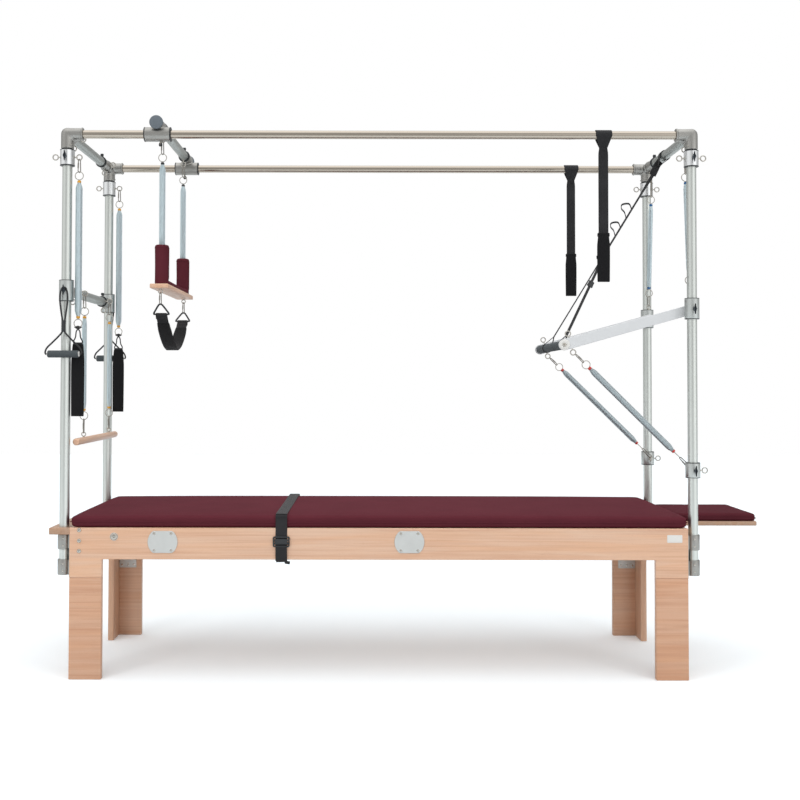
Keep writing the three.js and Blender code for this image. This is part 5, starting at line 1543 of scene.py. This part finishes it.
class TRAPEZE_OT_arm_springs(bpy.types.Operator):
    """Builds the two arm springs and the ankle loops that hang from them"""

    bl_idname = "trapeze_table.arm_springs"
    bl_label = "Arm springs and ankle loops"

    def execute(self, context):
        for depth, side in DEPTHS.items():
            eye = eye_at(spot(-POST_X + COLLAR_RADIUS, side * POST_Y, COLLAR_EYE_Z), X)
            end = eye - Z * (TIP_DROP + WINDING_LENGTHS["arm"])
            shape = Shape()
            upper_link(shape, eye, -Z)
            winding(shape, eye - Z * TIP_DROP, end, COIL_RADII["arm"], "dipped_yellow")
            held = lower_ring(shape, end, -Z, Y)
            node = f"arm_spring_{depth}"
            shape.piece(f"{node}_wound", f"{node}_body", "zinc_spring_wire", node)
            self.ankle_loop(depth, held)
        return {"FINISHED"}

    def ankle_loop(self, depth, held):
        """A knotted cord that spreads to a band of padded webbing with an open eye."""
        node = f"ankle_loop_{depth}"
        foot = box(node)[0].z
        knot = held - Z * (RING_RADIUS + 2)
        band_top = foot + 292
        x, y = held.x, held.y
        shape = Shape()
        turns_of_knot = [
            Vector((x + 8 * math.cos(a), y + 5 * math.sin(a * 2), knot.z + 4 * math.sin(a) + 2))
            for a in turns(24)
        ]
        shape.add("braided_cord", wire(turns_of_knot, 2.6, 10, closed=True))
        shape.add("braided_cord", ring(knot + Z, X, 6.5, 2.4))
        for sx in (-1, 1):
            ear = [knot + Vector(p) for p in ((0, 0, -3), (sx * 8, 0, 0), (sx * 12, 0, 4), (sx * 13, 0, 1))]
            shape.add("braided_cord", wire(smooth_path(ear, 4), 2.5, 10))
        # The cord stays narrow above the band, clear of the crossbar's sleeve that slides down past it
        half = [(0, knot.z - 4), (7, knot.z - 14)]
        half += [(10, band_top + 22), (17.5, band_top + 6), (13, band_top - 3)]
        path = [Vector((x - out, y, z)) for out, z in half]
        path += [Vector((x + out, y, z)) for out, z in reversed(half)]
        shape.add("braided_cord", wire(smooth_path(path, 6), 2.5, 10))
        shape.piece(f"ankle_cord_{depth}", f"{node}_body", "black_webbing")
        band = Shape()
        band.add("brushed_fleece", hanging_loop(x, y, band_top, foot, 4.4, 49))
        tab = [Vector((x, y + dy, band_top + dz)) for dy, dz in ((-5, -6), (0, 0.5), (5, -6))]
        band.add("webbing_lengthways", strap(smooth_path(tab, 5), X, 34, 3))
        made = band.piece(f"ankle_band_{depth}", f"{node}_body", "black_webbing", node)


def hanging_loop(x, y, top, foot, layer, width):
    """A closed band seen from its edge: two layers that part a little and turn round a soft lower end."""
    opening = 6
    half = opening + layer / 2 - 2
    height = top - foot
    path = []
    steps = 26
    for sign in (1, -1):
        for i in range(steps + 1):
            share = i / steps if sign > 0 else 1 - i / steps
            out = half * (0.45 + 0.55 * math.sin(math.pi * min(1, share * 1.08) ** 0.8))
            out = max(out, 1.4) if 0.02 < share < 0.985 else out * 0.3
            path.append(Vector((x, y, top - layer - (height - 2 * layer) * share)) + Y * out * sign)
    narrow = [width * (0.82 + 0.18 * min(1, 4 * abs((top - p.z) / height))) for p in path]
    return strap(path, X, narrow, layer, closed=True)


class TRAPEZE_OT_roll_down(bpy.types.Operator):
    """Builds the roll-down bar and the two springs that carry it"""

    bl_idname = "trapeze_table.roll_down"
    bl_label = "Roll-down bar"

    def execute(self, context):
        low, high = box("roll_down_bar")
        x = (low.x + high.x) / 2
        axis = low.z + DOWEL_RADIUS
        top = axis + DOWEL_RADIUS
        for depth, side in DEPTHS.items():
            eye = eye_at(spot(-POST_X + CROSS_RADIUS, side * ROLL_DOWN_EYE_Y, SLIDER_Z), X)
            end = eye - Z * (TIP_DROP + WINDING_LENGTHS["roll_down"])
            shape = Shape()
            upper_link(shape, eye, -Z)
            winding(shape, eye - Z * TIP_DROP, end, COIL_RADII["roll_down"], "dipped_yellow")
            held = lower_ring(shape, end, -Z, Y)
            small = Vector((x, side * ROLL_DOWN_EYE_Y, top + SMALL_EYE_REACH))
            reach = held.z - RING_RADIUS - small.z
            shape.add("snap_hook_painted_shade_steel", *hook_between(small, Z, X, reach, SMALL_EYE))
            node = f"roll_down_spring_{depth}"
            shape.piece(f"{node}_wound", "roll_down", "zinc_spring_wire", node)
        shape = Shape()
        ends = [(4, 0.2), (9, 0.4), (11.6, 1.4), (13.3, 3.4), (DOWEL_RADIUS, 6.5)]
        length = high.y - low.y
        profile = ends + [(DOWEL_RADIUS, length / 2)] + [(r, length - h) for r, h in reversed(ends)]
        sides = 40
        points, faces = turned(profile, Vector((x, low.y, axis)), Y, sides)
        caps = [face for i, face in enumerate(faces) if i < sides or i >= len(faces) - sides - 2]
        side_faces = [face for face in faces if face not in caps]
        shape.add("lacquered_beech_y", (points, side_faces))
        shape.add("beech_end_grain", (points, caps))
        for side in (-1, 1):
            shape.add("nickel_steel", *eyebolt(Vector((x, side * ROLL_DOWN_EYE_Y, top)), Z, Y, SMALL_EYE))
        shape.piece("roll_down_dowel", "roll_down", "beech_ply", "roll_down_bar")
        return {"FINISHED"}


# The trapeze


class TRAPEZE_OT_carriage(bpy.types.Operator):
    """Builds the carriage that slides on the two top bars"""

    bl_idname = "trapeze_table.carriage"
    bl_label = "Carriage"

    def execute(self, context):
        x = CARRIAGE_X
        shape = Shape()
        details = Shape()
        low, high = box("carriage")
        half = (high.x - low.x) / 2
        disc = [(3, 0), (25, 0), (27, 1.5), (27, 5.5), (25.5, 7.6), (20, 8.6), (3, 9)]
        for side in (-1, 1):
            y = side * POST_Y
            sleeve = Vector((x - half + 1, y, TOP_Z)), Vector((x + half - 1, y, TOP_Z))
            shape.add("cast_aluminium", rod(*sleeve, 28.4, 1.5, 40))
            inner = Vector((x, side * (POST_Y + 24 - 100), CARRIAGE_Z))
            outer = Vector((x, side * (POST_Y + 24), CARRIAGE_Z))
            shape.add("cast_aluminium", rod(inner, outer, 23.6, 2, 40))
            for sx in (-1, 1):
                mouth = Vector((x + sx * (half - 1.6), y, TOP_Z))
                details.add("black_plastic", bead(mouth, X, 29, 3.2, 11))
            details.add("black_plastic", bead(inner, Y, 25.6, 6, 6))
            start = Vector((x, side * (POST_Y + 30), CARRIAGE_Z))
            details.add("slate_plastic", turned(disc, start, Y * side, 48))
            details.add("slate_plastic", rod(start - Y * side * 12, start + Y * side, 19, 0.5, 40))
            thumbscrew(details, Vector((x - 10 * side, y, TOP_Z - 28)), -Z)
            base = Vector((x, side * TRAPEZE_SPRING_Y, CARRIAGE_Z - CARRIAGE_EYE_DROP))
            details.add("nickel_steel", *eyebolt(base, -Z, Y))
        thumbscrew(details, Vector((x, 262, CARRIAGE_Z + 23)), Z)
        across = Vector((x, -POST_Y, CARRIAGE_Z)), Vector((x, POST_Y, CARRIAGE_Z))
        details.add("anodised_across_painted_shade", rod(*across, 19, 0.5, 48))
        made = shape.piece("carriage_castings", None, "grey_casting")
        fuse(made, 2.6, 8)
        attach(made, "trapeze_carriage")
        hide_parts("carriage")
        details.piece("carriage_crossbar_and_fittings", "trapeze_carriage", "anodised_aluminium")
        return {"FINISHED"}


class TRAPEZE_OT_trapeze(bpy.types.Operator):
    """Builds the trapeze: its springs, board, padded cover and sling"""

    bl_idname = "trapeze_table.trapeze"
    bl_label = "Trapeze and sling"

    def execute(self, context):
        x = CARRIAGE_X
        top = box("trapeze_board")[1].z
        for depth, side in DEPTHS.items():
            eye = Vector((x, side * TRAPEZE_SPRING_Y, CARRIAGE_Z - CARRIAGE_EYE_DROP - EYE_REACH))
            end = Vector((x, eye.y, top + 1))
            shape = Shape()
            upper_link(shape, eye, -Z)
            winding(shape, eye - Z * TIP_DROP, end, COIL_RADII["trapeze"], "dipped_black", (True, False))
            node = f"trapeze_spring_{depth}"
            shape.piece(f"{node}_wound", "trapeze", "zinc_spring_wire", node)
        self.cross_board(x, top)
        self.cover(x)
        self.sling(x, top)
        return {"FINISHED"}

    def cross_board(self, x, top):
        low, high = box("trapeze_board")
        underside = top - TRAPEZE_BOARD
        shape = Shape()
        shape.add("lacquered_beech_y", board(Vector((low.x, low.y, underside)), high, 3))
        for side in (-1, 1):
            base = Vector((x, side * SLING_EYE_Y, underside))
            shape.add("nickel_steel", *eyebolt(base, -Z, Y, SMALL_EYE))
        shape.piece("trapeze_board_planed", "trapeze", "beech_ply", "trapeze_board")

    def cover(self, x):
        """Two padded sleeves round the springs and the padded strip between them, swelled by cloth."""
        low, high = box("trapeze_pad")
        height = high.z - low.z
        shape = Shape()
        strip = Vector((x - 29, -232, low.z + 0.4)), Vector((x + 29, 232, low.z + 18))
        shape.add("grained_vinyl", board(*strip, 5))
        profile = [
            (18, 0.5), (27.5, 0.5), (28.6, 4), (28, height * 0.5), (28.6, height - 8), (26, height - 2),
            (20, height - 1), (16.5, height - 3),
        ]
        for side in (-1, 1):
            foot = Vector((x, side * TRAPEZE_SPRING_Y, low.z))
            shape.add("grained_vinyl", turned(profile, foot, Z, 40, closed=True))
        made = shape.piece("trapeze_cover", None, "burgundy_vinyl")
        puff(made, 3.6, 2.0)
        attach(made, "trapeze")
        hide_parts("trapeze_pad")
        hems = Shape()
        for side in (-1, 1):
            y = side * TRAPEZE_SPRING_Y
            hem = circle(Vector((x, y, high.z - 14)), Z, 28.9, 40)
            hems.add("grained_vinyl", wire(hem, 0.9, 8, closed=True))
            seam = [Vector((x + 28.6, y, low.z + 22)), Vector((x + 28.9, y, high.z - 16))]
            hems.add("grained_vinyl", wire(seam, 0.9, 8))
        hems.piece("trapeze_cover_seams", "trapeze", "burgundy_vinyl")

    def sling(self, x, top):
        """Two snap hooks, two three-cornered rings, and a strap with a fleece sleeve that hangs between."""
        shape = Shape()
        hook_drop = 51
        eye_z = top - TRAPEZE_BOARD - SMALL_EYE_REACH
        end_y = 235
        apex_z = eye_z - hook_drop
        base_z = apex_z - 38
        right = [(4, 0.02), (11, 0.2), (27, 0.8), (29.5, 0.93), (25, 1.03)]
        corners = [(-4, 0.02)] + right + [(-a, b) for a, b in reversed(right[1:])]
        for side in (-1, 1):
            eye = Vector((x, side * SLING_EYE_Y, eye_z))
            shape.add("snap_hook_painted_shade_steel", *hook_between(eye, -Z, X, hook_drop - 3.5, SMALL_EYE))
            apex = Vector((x, side * SLING_EYE_Y, apex_z))
            lean = Vector((x, side * end_y, base_z)) - apex
            path = [apex + lean * b + X * a for a, b in corners]
            shape.add("black_plastic", wire(smooth_path(path, 5, closed=True), 3.7, 10, closed=True))
        shape.piece("sling_hooks_and_rings", "trapeze_sling", "black_webbing")
        band = Shape()
        depth = 134
        lowest = base_z - depth

        def hang(t):
            return Vector((x, t * end_y, lowest + depth * (0.92 * abs(t) ** 1.7 + 0.08 * t * t)))

        path = [hang(-1 + i / 20) for i in range(41)]
        band.add("webbing_upright", strap(path, X, 46, 3.4))
        for side in (-1, 1):
            turn = ((-14, -20), (-5, -7), (1, 3), (6, -5), (-2, -20))
            around = [Vector((x, side * (end_y + dy), base_z + dz)) for dy, dz in turn]
            band.add("webbing_upright", strap(smooth_path(around, 5), X, 44, 3))
        band.piece("sling_band", "trapeze_sling", "black_webbing", "sling")
        inner = [hang(-0.84 + 1.68 * i / 36) for i in range(37)]
        swell = [50 + 5 * min(1, 6 * (1 - abs(2 * i / 36 - 1))) for i in range(37)]
        sleeve = Shape().add("brushed_fleece", strap(inner, X, swell, 9))
        sleeve.piece("sling_sleeve", "trapeze_sling", "black_webbing")


# The right end


class TRAPEZE_OT_push_bar(bpy.types.Operator):
    """Builds the push bar, its grip, and the collars on the right posts"""

    bl_idname = "trapeze_table.push_bar"
    bl_label = "Push bar and collars"

    def execute(self, context):
        self.bar()
        for depth, side in DEPTHS.items():
            self.pivot_collar(depth, side)
            self.anchor_collar(depth, side)
        return {"FINISHED"}

    def bar(self):
        length = (PIVOT - PUSH_BAR).length
        shape = Shape()
        outline = []
        for centre, start, radius in ((length, -math.pi / 2, ARM_HALF), (0, math.pi / 2, 22)):
            for i in range(13):
                a = start + math.pi * i / 12
                outline.append((centre + radius * math.cos(a), radius * math.sin(a)))
        for side in (-1, 1):
            base = Vector((PUSH_BAR.x, side * ARM_Y, PUSH_BAR.z))
            shape.add("white_powder_coat", plate(outline, base + Y * 5, ARM_AHEAD, ARM_ABOVE, 10, 1.4))
            disc = [(4, 0), (19.5, 0), (21.5, 1), (21.5, 3), (19.5, 4), (12, 4.2), (11, 3.4), (4, 3.4)]
            shape.add("white_plastic", turned(disc, base + Y * side * 4.8, Y * side, 40))
            bolt_head(shape, base + Y * side * 8, Y * side, 8, 4)
            for sign in (-1, 1):
                out = ARM_ABOVE * sign
                foot = base + ARM_AHEAD * ARM_EYE_REACH + out * ARM_HALF
                shape.add("nickel_steel", *eyebolt(foot, out, Y))
        shape.add("white_powder_coat", rod(PUSH_BAR - Y * ARM_Y, PUSH_BAR + Y * ARM_Y, 12, 1))
        shape.piece("push_bar_arms", "push_arm", "powder_coated_steel", "push_bar")
        half = 281
        ends = [(12.2, 0), (16, 0), (17.6, 1.4), (18, 4)]
        profile = ends + [(18, half)] + [(radius, 2 * half - h) for radius, h in reversed(ends)]
        grip = Shape().add("cell_foam", turned(profile, PUSH_BAR - Y * half, Y, 40, closed=True))
        grip.piece("push_bar_foam_grip", "push_arm", "grey_foam", "push_grip")

    def pivot_collar(self, depth, side):
        foot = box(f"pivot_collar_{depth}")[0].z
        top = foot + PIVOT_SLEEVE
        centre = spot(POST_X, side * POST_Y, 0)
        shape = Shape()
        collar_sleeve(shape, centre + Z * (foot + top) / 2, (top - foot) / 2)
        inward = Y * -side
        face = Vector((centre.x, side * (POST_Y - COLLAR_RADIUS), PIVOT_Z))
        shape.add("white_plastic", rod(face - inward * 4, face + inward * 2.9, 14, 0.6))
        shape.add("nickel_steel", rod(face - inward * 3, face + inward * 14.6, 7.7, 0.4))
        head = [(6, 0), (12, 0), (12, 3.5), (10.5, 5), (6, 5)]
        shape.add("nickel_steel", turned(head, face + inward * 13.5, inward, 6))
        lozenge_knob(shape, centre.x, side * (POST_Y + KNOB_FOOT), PIVOT_Z, side)
        base = Vector((centre.x, side * PIVOT_EYE_Y, top))
        shape.add("nickel_steel", *eyebolt(base, Z, Y, SMALL_EYE))
        shape.piece(f"pivot_collar_{depth}_sleeve", "frame", "anodised_aluminium", f"pivot_collar_{depth}")

    def anchor_collar(self, depth, side):
        node = f"anchor_collar_{depth}"
        low, high = box(node)
        centre = spot(POST_X, side * POST_Y, (low.z + high.z) / 2)
        shape = Shape()
        collar_sleeve(shape, centre, (high.z - low.z) / 2)
        lozenge_knob(shape, centre.x, side * (POST_Y + KNOB_FOOT), ANCHOR_EYE_Z, side)
        outer = Vector((centre.x + COLLAR_RADIUS, centre.y, ANCHOR_EYE_Z))
        shape.add("nickel_steel", *eyebolt(outer, X, Y))
        inner = Vector((centre.x, side * (POST_Y - COLLAR_RADIUS), ANCHOR_EYE_Z))
        shape.add("nickel_steel", *eyebolt(inner, Y * -side, X))
        shape.piece(f"{node}_sleeve", "frame", "anodised_aluminium", node)


# How far the windings of the springs at the right end keep from the eyes that hold them
PUSH_LOWER = 86
COUNTER_UPPER = 137
COUNTER_LOWER = 85


class TRAPEZE_OT_push_springs(bpy.types.Operator):
    """Builds the push springs with their hooks, and the counter springs above them"""

    bl_idname = "trapeze_table.push_springs"
    bl_label = "Push and counter springs"

    def execute(self, context):
        for depth, side in DEPTHS.items():
            self.push_spring(depth, side)
            self.counter_spring(depth, side)
        return {"FINISHED"}

    def push_spring(self, depth, side):
        stand = ARM_HALF + EYE_REACH - EYEBOLT["wire"]
        arm = Vector((PUSH_BAR.x, side * ARM_Y, PUSH_BAR.z))
        end = arm + ARM_AHEAD * ARM_EYE_REACH - ARM_ABOVE * stand
        eye_y = POST_Y - COLLAR_RADIUS - EYE_REACH
        start = Vector((PIVOT.x, side * eye_y, ANCHOR_EYE_Z + EYEBOLT["radius"]))
        direction = (end - start).normalized()
        length = (end - start).length
        lower = start + direction * PUSH_LOWER
        upper = start + direction * (length - RING_DROP - RING_RADIUS - RING_WIRE - 0.3)
        shape = Shape()
        shape.add("snap_hook_painted_shade_steel", *snap_hook(start, start + direction * 47, Y, 8, 5))
        shape.add("nickel_steel", rod(start + direction * 49, lower + direction, RING_WIRE, 0.3, 10))
        # The push spring's winding takes the zinc darkened by painted shade
        winding(shape, lower, upper, COIL_RADII["push"], "dipped_red", wire_finish="painted_shade_zinc")
        made = shape.piece(f"push_spring_{depth}_wound", None, "zinc_spring_wire", f"push_spring_{depth}")
        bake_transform(made)
        hook = Shape()
        back = -direction
        normal = direction.cross(Y).normalized()
        near = end + back * (EYEBOLT["radius"] + EYEBOLT["wire"] + 0.3 + HOOK_WIRE + 6)
        far = end + back * (RING_DROP - RING_RADIUS + RING_WIRE + HOOK_WIRE - 1 - 6)
        hook.add("snap_hook_painted_shade_steel", *snap_hook(near, far, normal, 5, 6))
        hook.add("nickel_steel", ring(end + back * RING_DROP, Y, RING_RADIUS, RING_WIRE))
        hook.piece(f"push_hook_{depth}_bent", "push_hooks", "zinc_spring_wire", f"push_hook_{depth}")

    def counter_spring(self, depth, side):
        start = spot(POST_X, side * CROSS_EYE_Y, TOP_Z - CROSS_RADIUS - EYE_REACH)
        top = box(f"pivot_collar_{depth}")[0].z + PIVOT_SLEEVE
        end = spot(POST_X, side * PIVOT_EYE_Y, top + SMALL_EYE_REACH)
        direction = (end - start).normalized()
        upper = start + direction * COUNTER_UPPER
        lower = end - direction * COUNTER_LOWER
        shape = Shape()
        upper_link(shape, start, direction, COUNTER_UPPER - TIP_DROP + RING_DROP, COUNTER_UPPER)
        winding(shape, upper, lower, COIL_RADII["counter"], "dipped_blue")
        held = lower_ring(shape, lower, direction, direction.cross(X).normalized())
        reach = (end - held).length - RING_RADIUS
        shape.add("snap_hook_painted_shade_steel", *hook_between(end, -direction, X, reach, SMALL_EYE))
        node = f"counter_spring_{depth}"
        shape.piece(f"{node}_wound", "frame", "zinc_spring_wire", node)


def choked_path(centre, direction, across, radius, neck):
    """A strap's path once round a bar and back to its neck, from one side of the neck to the other."""
    steps = 22
    other = across.cross(direction)
    limit = math.pi - math.acos(min(1, radius / neck)) * 0.92
    path = [centre + direction * neck - other * 1.6]
    for i in range(steps + 1):
        a = limit * (2 * i / steps - 1)
        path.append(centre - direction * math.cos(a) * radius + other * math.sin(a) * radius)
    return path + [centre + direction * neck + other * 1.6]


def turning_run(shape, start, end, side, angles, width, thickness):
    """A straight run of strap that turns about its own line from one angle to another, in degrees."""
    steps = 16
    path, sides = [], []
    for i in range(steps + 1):
        s = i / steps
        path.append(start.lerp(end, s))
        a = math.radians(angles[0] + (angles[1] - angles[0]) * min(1, s * 3))
        sides.append(Y * math.cos(a) + side * math.sin(a))
    shape.add("webbing_upright", strap(path, sides, width, thickness))


# Where the safety strap holds the crossbar and the grip along Y, and the share of its way where it parts
STRAP_BAR_Y = 40
STRAP_GRIP_Y = 105
STRAP_SECOND_GRIP_Y = -236
STRAP_SPLIT = 0.5

# How far below the top bar a bar loop's sleeve starts
BAR_LOOP_NECK = 386


class TRAPEZE_OT_straps(bpy.types.Operator):
    """Builds the safety strap of the push bar and the two bar loops"""

    bl_idname = "trapeze_table.straps"
    bl_label = "Safety strap and bar loops"

    def execute(self, context):
        self.safety_strap()
        for depth, side in DEPTHS.items():
            self.bar_loop(depth, side)
        return {"FINISHED"}

    def safety_strap(self):
        """A strap choked on the crossbar, its slack in folds, that parts into two runs to the grip."""
        one = spot(POST_X, STRAP_BAR_Y, TOP_Z)
        other = Vector((PUSH_BAR.x, STRAP_GRIP_Y, PUSH_BAR.z))
        nearer = Vector((PUSH_BAR.x, STRAP_SECOND_GRIP_Y, PUSH_BAR.z))
        direction = (other - one).normalized()
        side = direction.cross(Y).normalized()
        shape = Shape()
        bar_loop = choked_path(one, direction, Y, CROSS_RADIUS + 2.6, 52)
        shape.add("webbing_upright", strap(bar_loop, Y, 34, 3))
        split = one.lerp(other, STRAP_SPLIT)
        fold = [one.lerp(other, s) - side * out for s, out in ((0.03, 3), (0.05, 6), (0.075, 3), (0.1, 1))]
        shape.add("webbing_upright", strap(smooth_path(fold, 5), side, 30, 4))
        turning_run(shape, one.lerp(other, 0.045), split, side, (75, 28), 19, 2.4)
        for end, width, angles in ((other, 14, (30, 24)), (nearer, 19, (40, 40))):
            way = (end - split).normalized()
            level = way.cross(Y).normalized()
            turning_run(shape, split - way * 6, end - way * 50, level, angles, width, 2.2)
            shape.add("webbing_upright", strap(choked_path(end, -way, Y, 19.8, 54), Y, 19, 2))
        for share, out in ((0.275, 46), (0.37, 44), (0.53, 22)):
            base = one.lerp(other, share)
            loop = [
                base - side * 2,
                base - side * out * 0.5 - direction * out * 0.28,
                base - side * out + direction * out * 0.1,
                base - side * out * 0.86 + direction * out * 0.45,
                base - side * out * 0.45 + direction * out * 0.6,
                base - side * 3 + direction * out * 0.95,
            ]
            shape.add("webbing_upright", strap(smooth_path(loop, 7), Y + side * 0.3, 19, 3))
        place = split.lerp(nearer, 0.36)
        way = (nearer - split).normalized()
        level = way.cross(Y).normalized()
        shape.add("black_plastic", plate(rounded(17, 12, 3), place - Y * 2, way, level, 4, 1))
        pin = place - level * 13 + way * 8, place + level * 13 + way * 8
        shape.add("black_plastic", rod(*pin, 3.4, 0.8, 14))
        made = shape.piece("safety_strap_webbing", None, "black_webbing", "safety_strap")
        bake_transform(made)

    def bar_loop(self, depth, side):
        """A loop of webbing choked on the top bar, gathered at its neck, with a sewn fleece sleeve."""
        node = f"bar_loop_{depth}"
        low, high = box(node)
        x = (low.x + high.x) / 2
        centre = Vector((x, side * POST_Y, TOP_Z))
        band_top = TOP_Z - BAR_LOOP_NECK
        shape = Shape()
        path = choked_path(centre, -Z, X, BAR_RADIUS + 2.4, 50)
        widths = [33 + 31 * max(0, min(1, (p.z - TOP_Z + 48) / 42)) for p in path]
        shape.add("webbing_upright", strap(path, X, widths, 3))
        for out in (-1, 1):
            gathered = [
                Vector((x + out * 7, centre.y + out * 2, TOP_Z - BAR_RADIUS - 1)),
                Vector((x + out * 5, centre.y + out * 3.4, TOP_Z - 34)),
                Vector((x + out * 2, centre.y + out * 3, TOP_Z - 62)),
            ]
            shape.add("webbing_upright", strap(smooth_path(gathered, 5), X + Y * 0.5 * out, 20, 3.4))
            hung = ((1.6, 44), (2.6, 60), (2.2, 120), (3.0, 190), (2.4, 260), (3.0, 330), (2.4, 392))
            run = smooth_path([Vector((x, centre.y + out * gap, TOP_Z - drop)) for gap, drop in hung], 5)
            widths = [min(38, 31 + 0.28 * max(0, TOP_Z - p.z - 48)) for p in run]
            shape.add("webbing_upright", strap(run, X, widths, 3))
        shape.piece(f"{node}_webbing", f"{node}_body", "black_webbing", node)
        sleeve = Shape()
        sleeve.add("brushed_fleece", hanging_loop(x, centre.y, band_top, low.z, 4.8, 48))
        sewn_end = Vector((x, centre.y, band_top - 16))
        sleeve.add("brushed_fleece", plate(rounded(24, 6.4, 5), sewn_end, X, Y, 15, 2))
        sleeve.piece(f"{node}_sleeve", f"{node}_body", "black_webbing")


OPERATORS = (
    TRAPEZE_OT_stage,
    TRAPEZE_OT_wood,
    TRAPEZE_OT_fittings,
    TRAPEZE_OT_cushions,
    TRAPEZE_OT_posts,
    TRAPEZE_OT_top_frame,
    TRAPEZE_OT_slider,
    TRAPEZE_OT_arm_springs,
    TRAPEZE_OT_roll_down,
    TRAPEZE_OT_carriage,
    TRAPEZE_OT_trapeze,
    TRAPEZE_OT_push_bar,
    TRAPEZE_OT_push_springs,
    TRAPEZE_OT_straps,
)


class TRAPEZE_PT_panel(bpy.types.Panel):
    """Lists the colours, the sizes and the pieces of the trapeze table"""

    bl_idname = "TRAPEZE_PT_panel"
    bl_label = "Trapeze Table"
    bl_space_type = "VIEW_3D"
    bl_region_type = "UI"
    bl_category = "Trapeze Table"

    def draw(self, context):
        for group in (colours(), sizes()):
            for name in group.__annotations__:
                self.layout.prop(group, name)
        for operator in OPERATORS:
            self.layout.operator(operator.bl_idname)


CLASSES = (TrapezeTableColours, TrapezeTableSizes, *OPERATORS, TRAPEZE_PT_panel)


def register():
    for each in CLASSES:
        bpy.utils.register_class(each)
    bpy.types.Scene.trapeze_table_colours = bpy.props.PointerProperty(type=TrapezeTableColours)
    bpy.types.Scene.trapeze_table_sizes = bpy.props.PointerProperty(type=TrapezeTableSizes)


def unregister():
    del bpy.types.Scene.trapeze_table_sizes
    del bpy.types.Scene.trapeze_table_colours
    for each in reversed(CLASSES):
        bpy.utils.unregister_class(each)


def main():
    register()
    for operator in OPERATORS:
        getattr(bpy.ops.trapeze_table, operator.bl_idname.split(".")[1])()


if __name__ == "__main__":
    main()
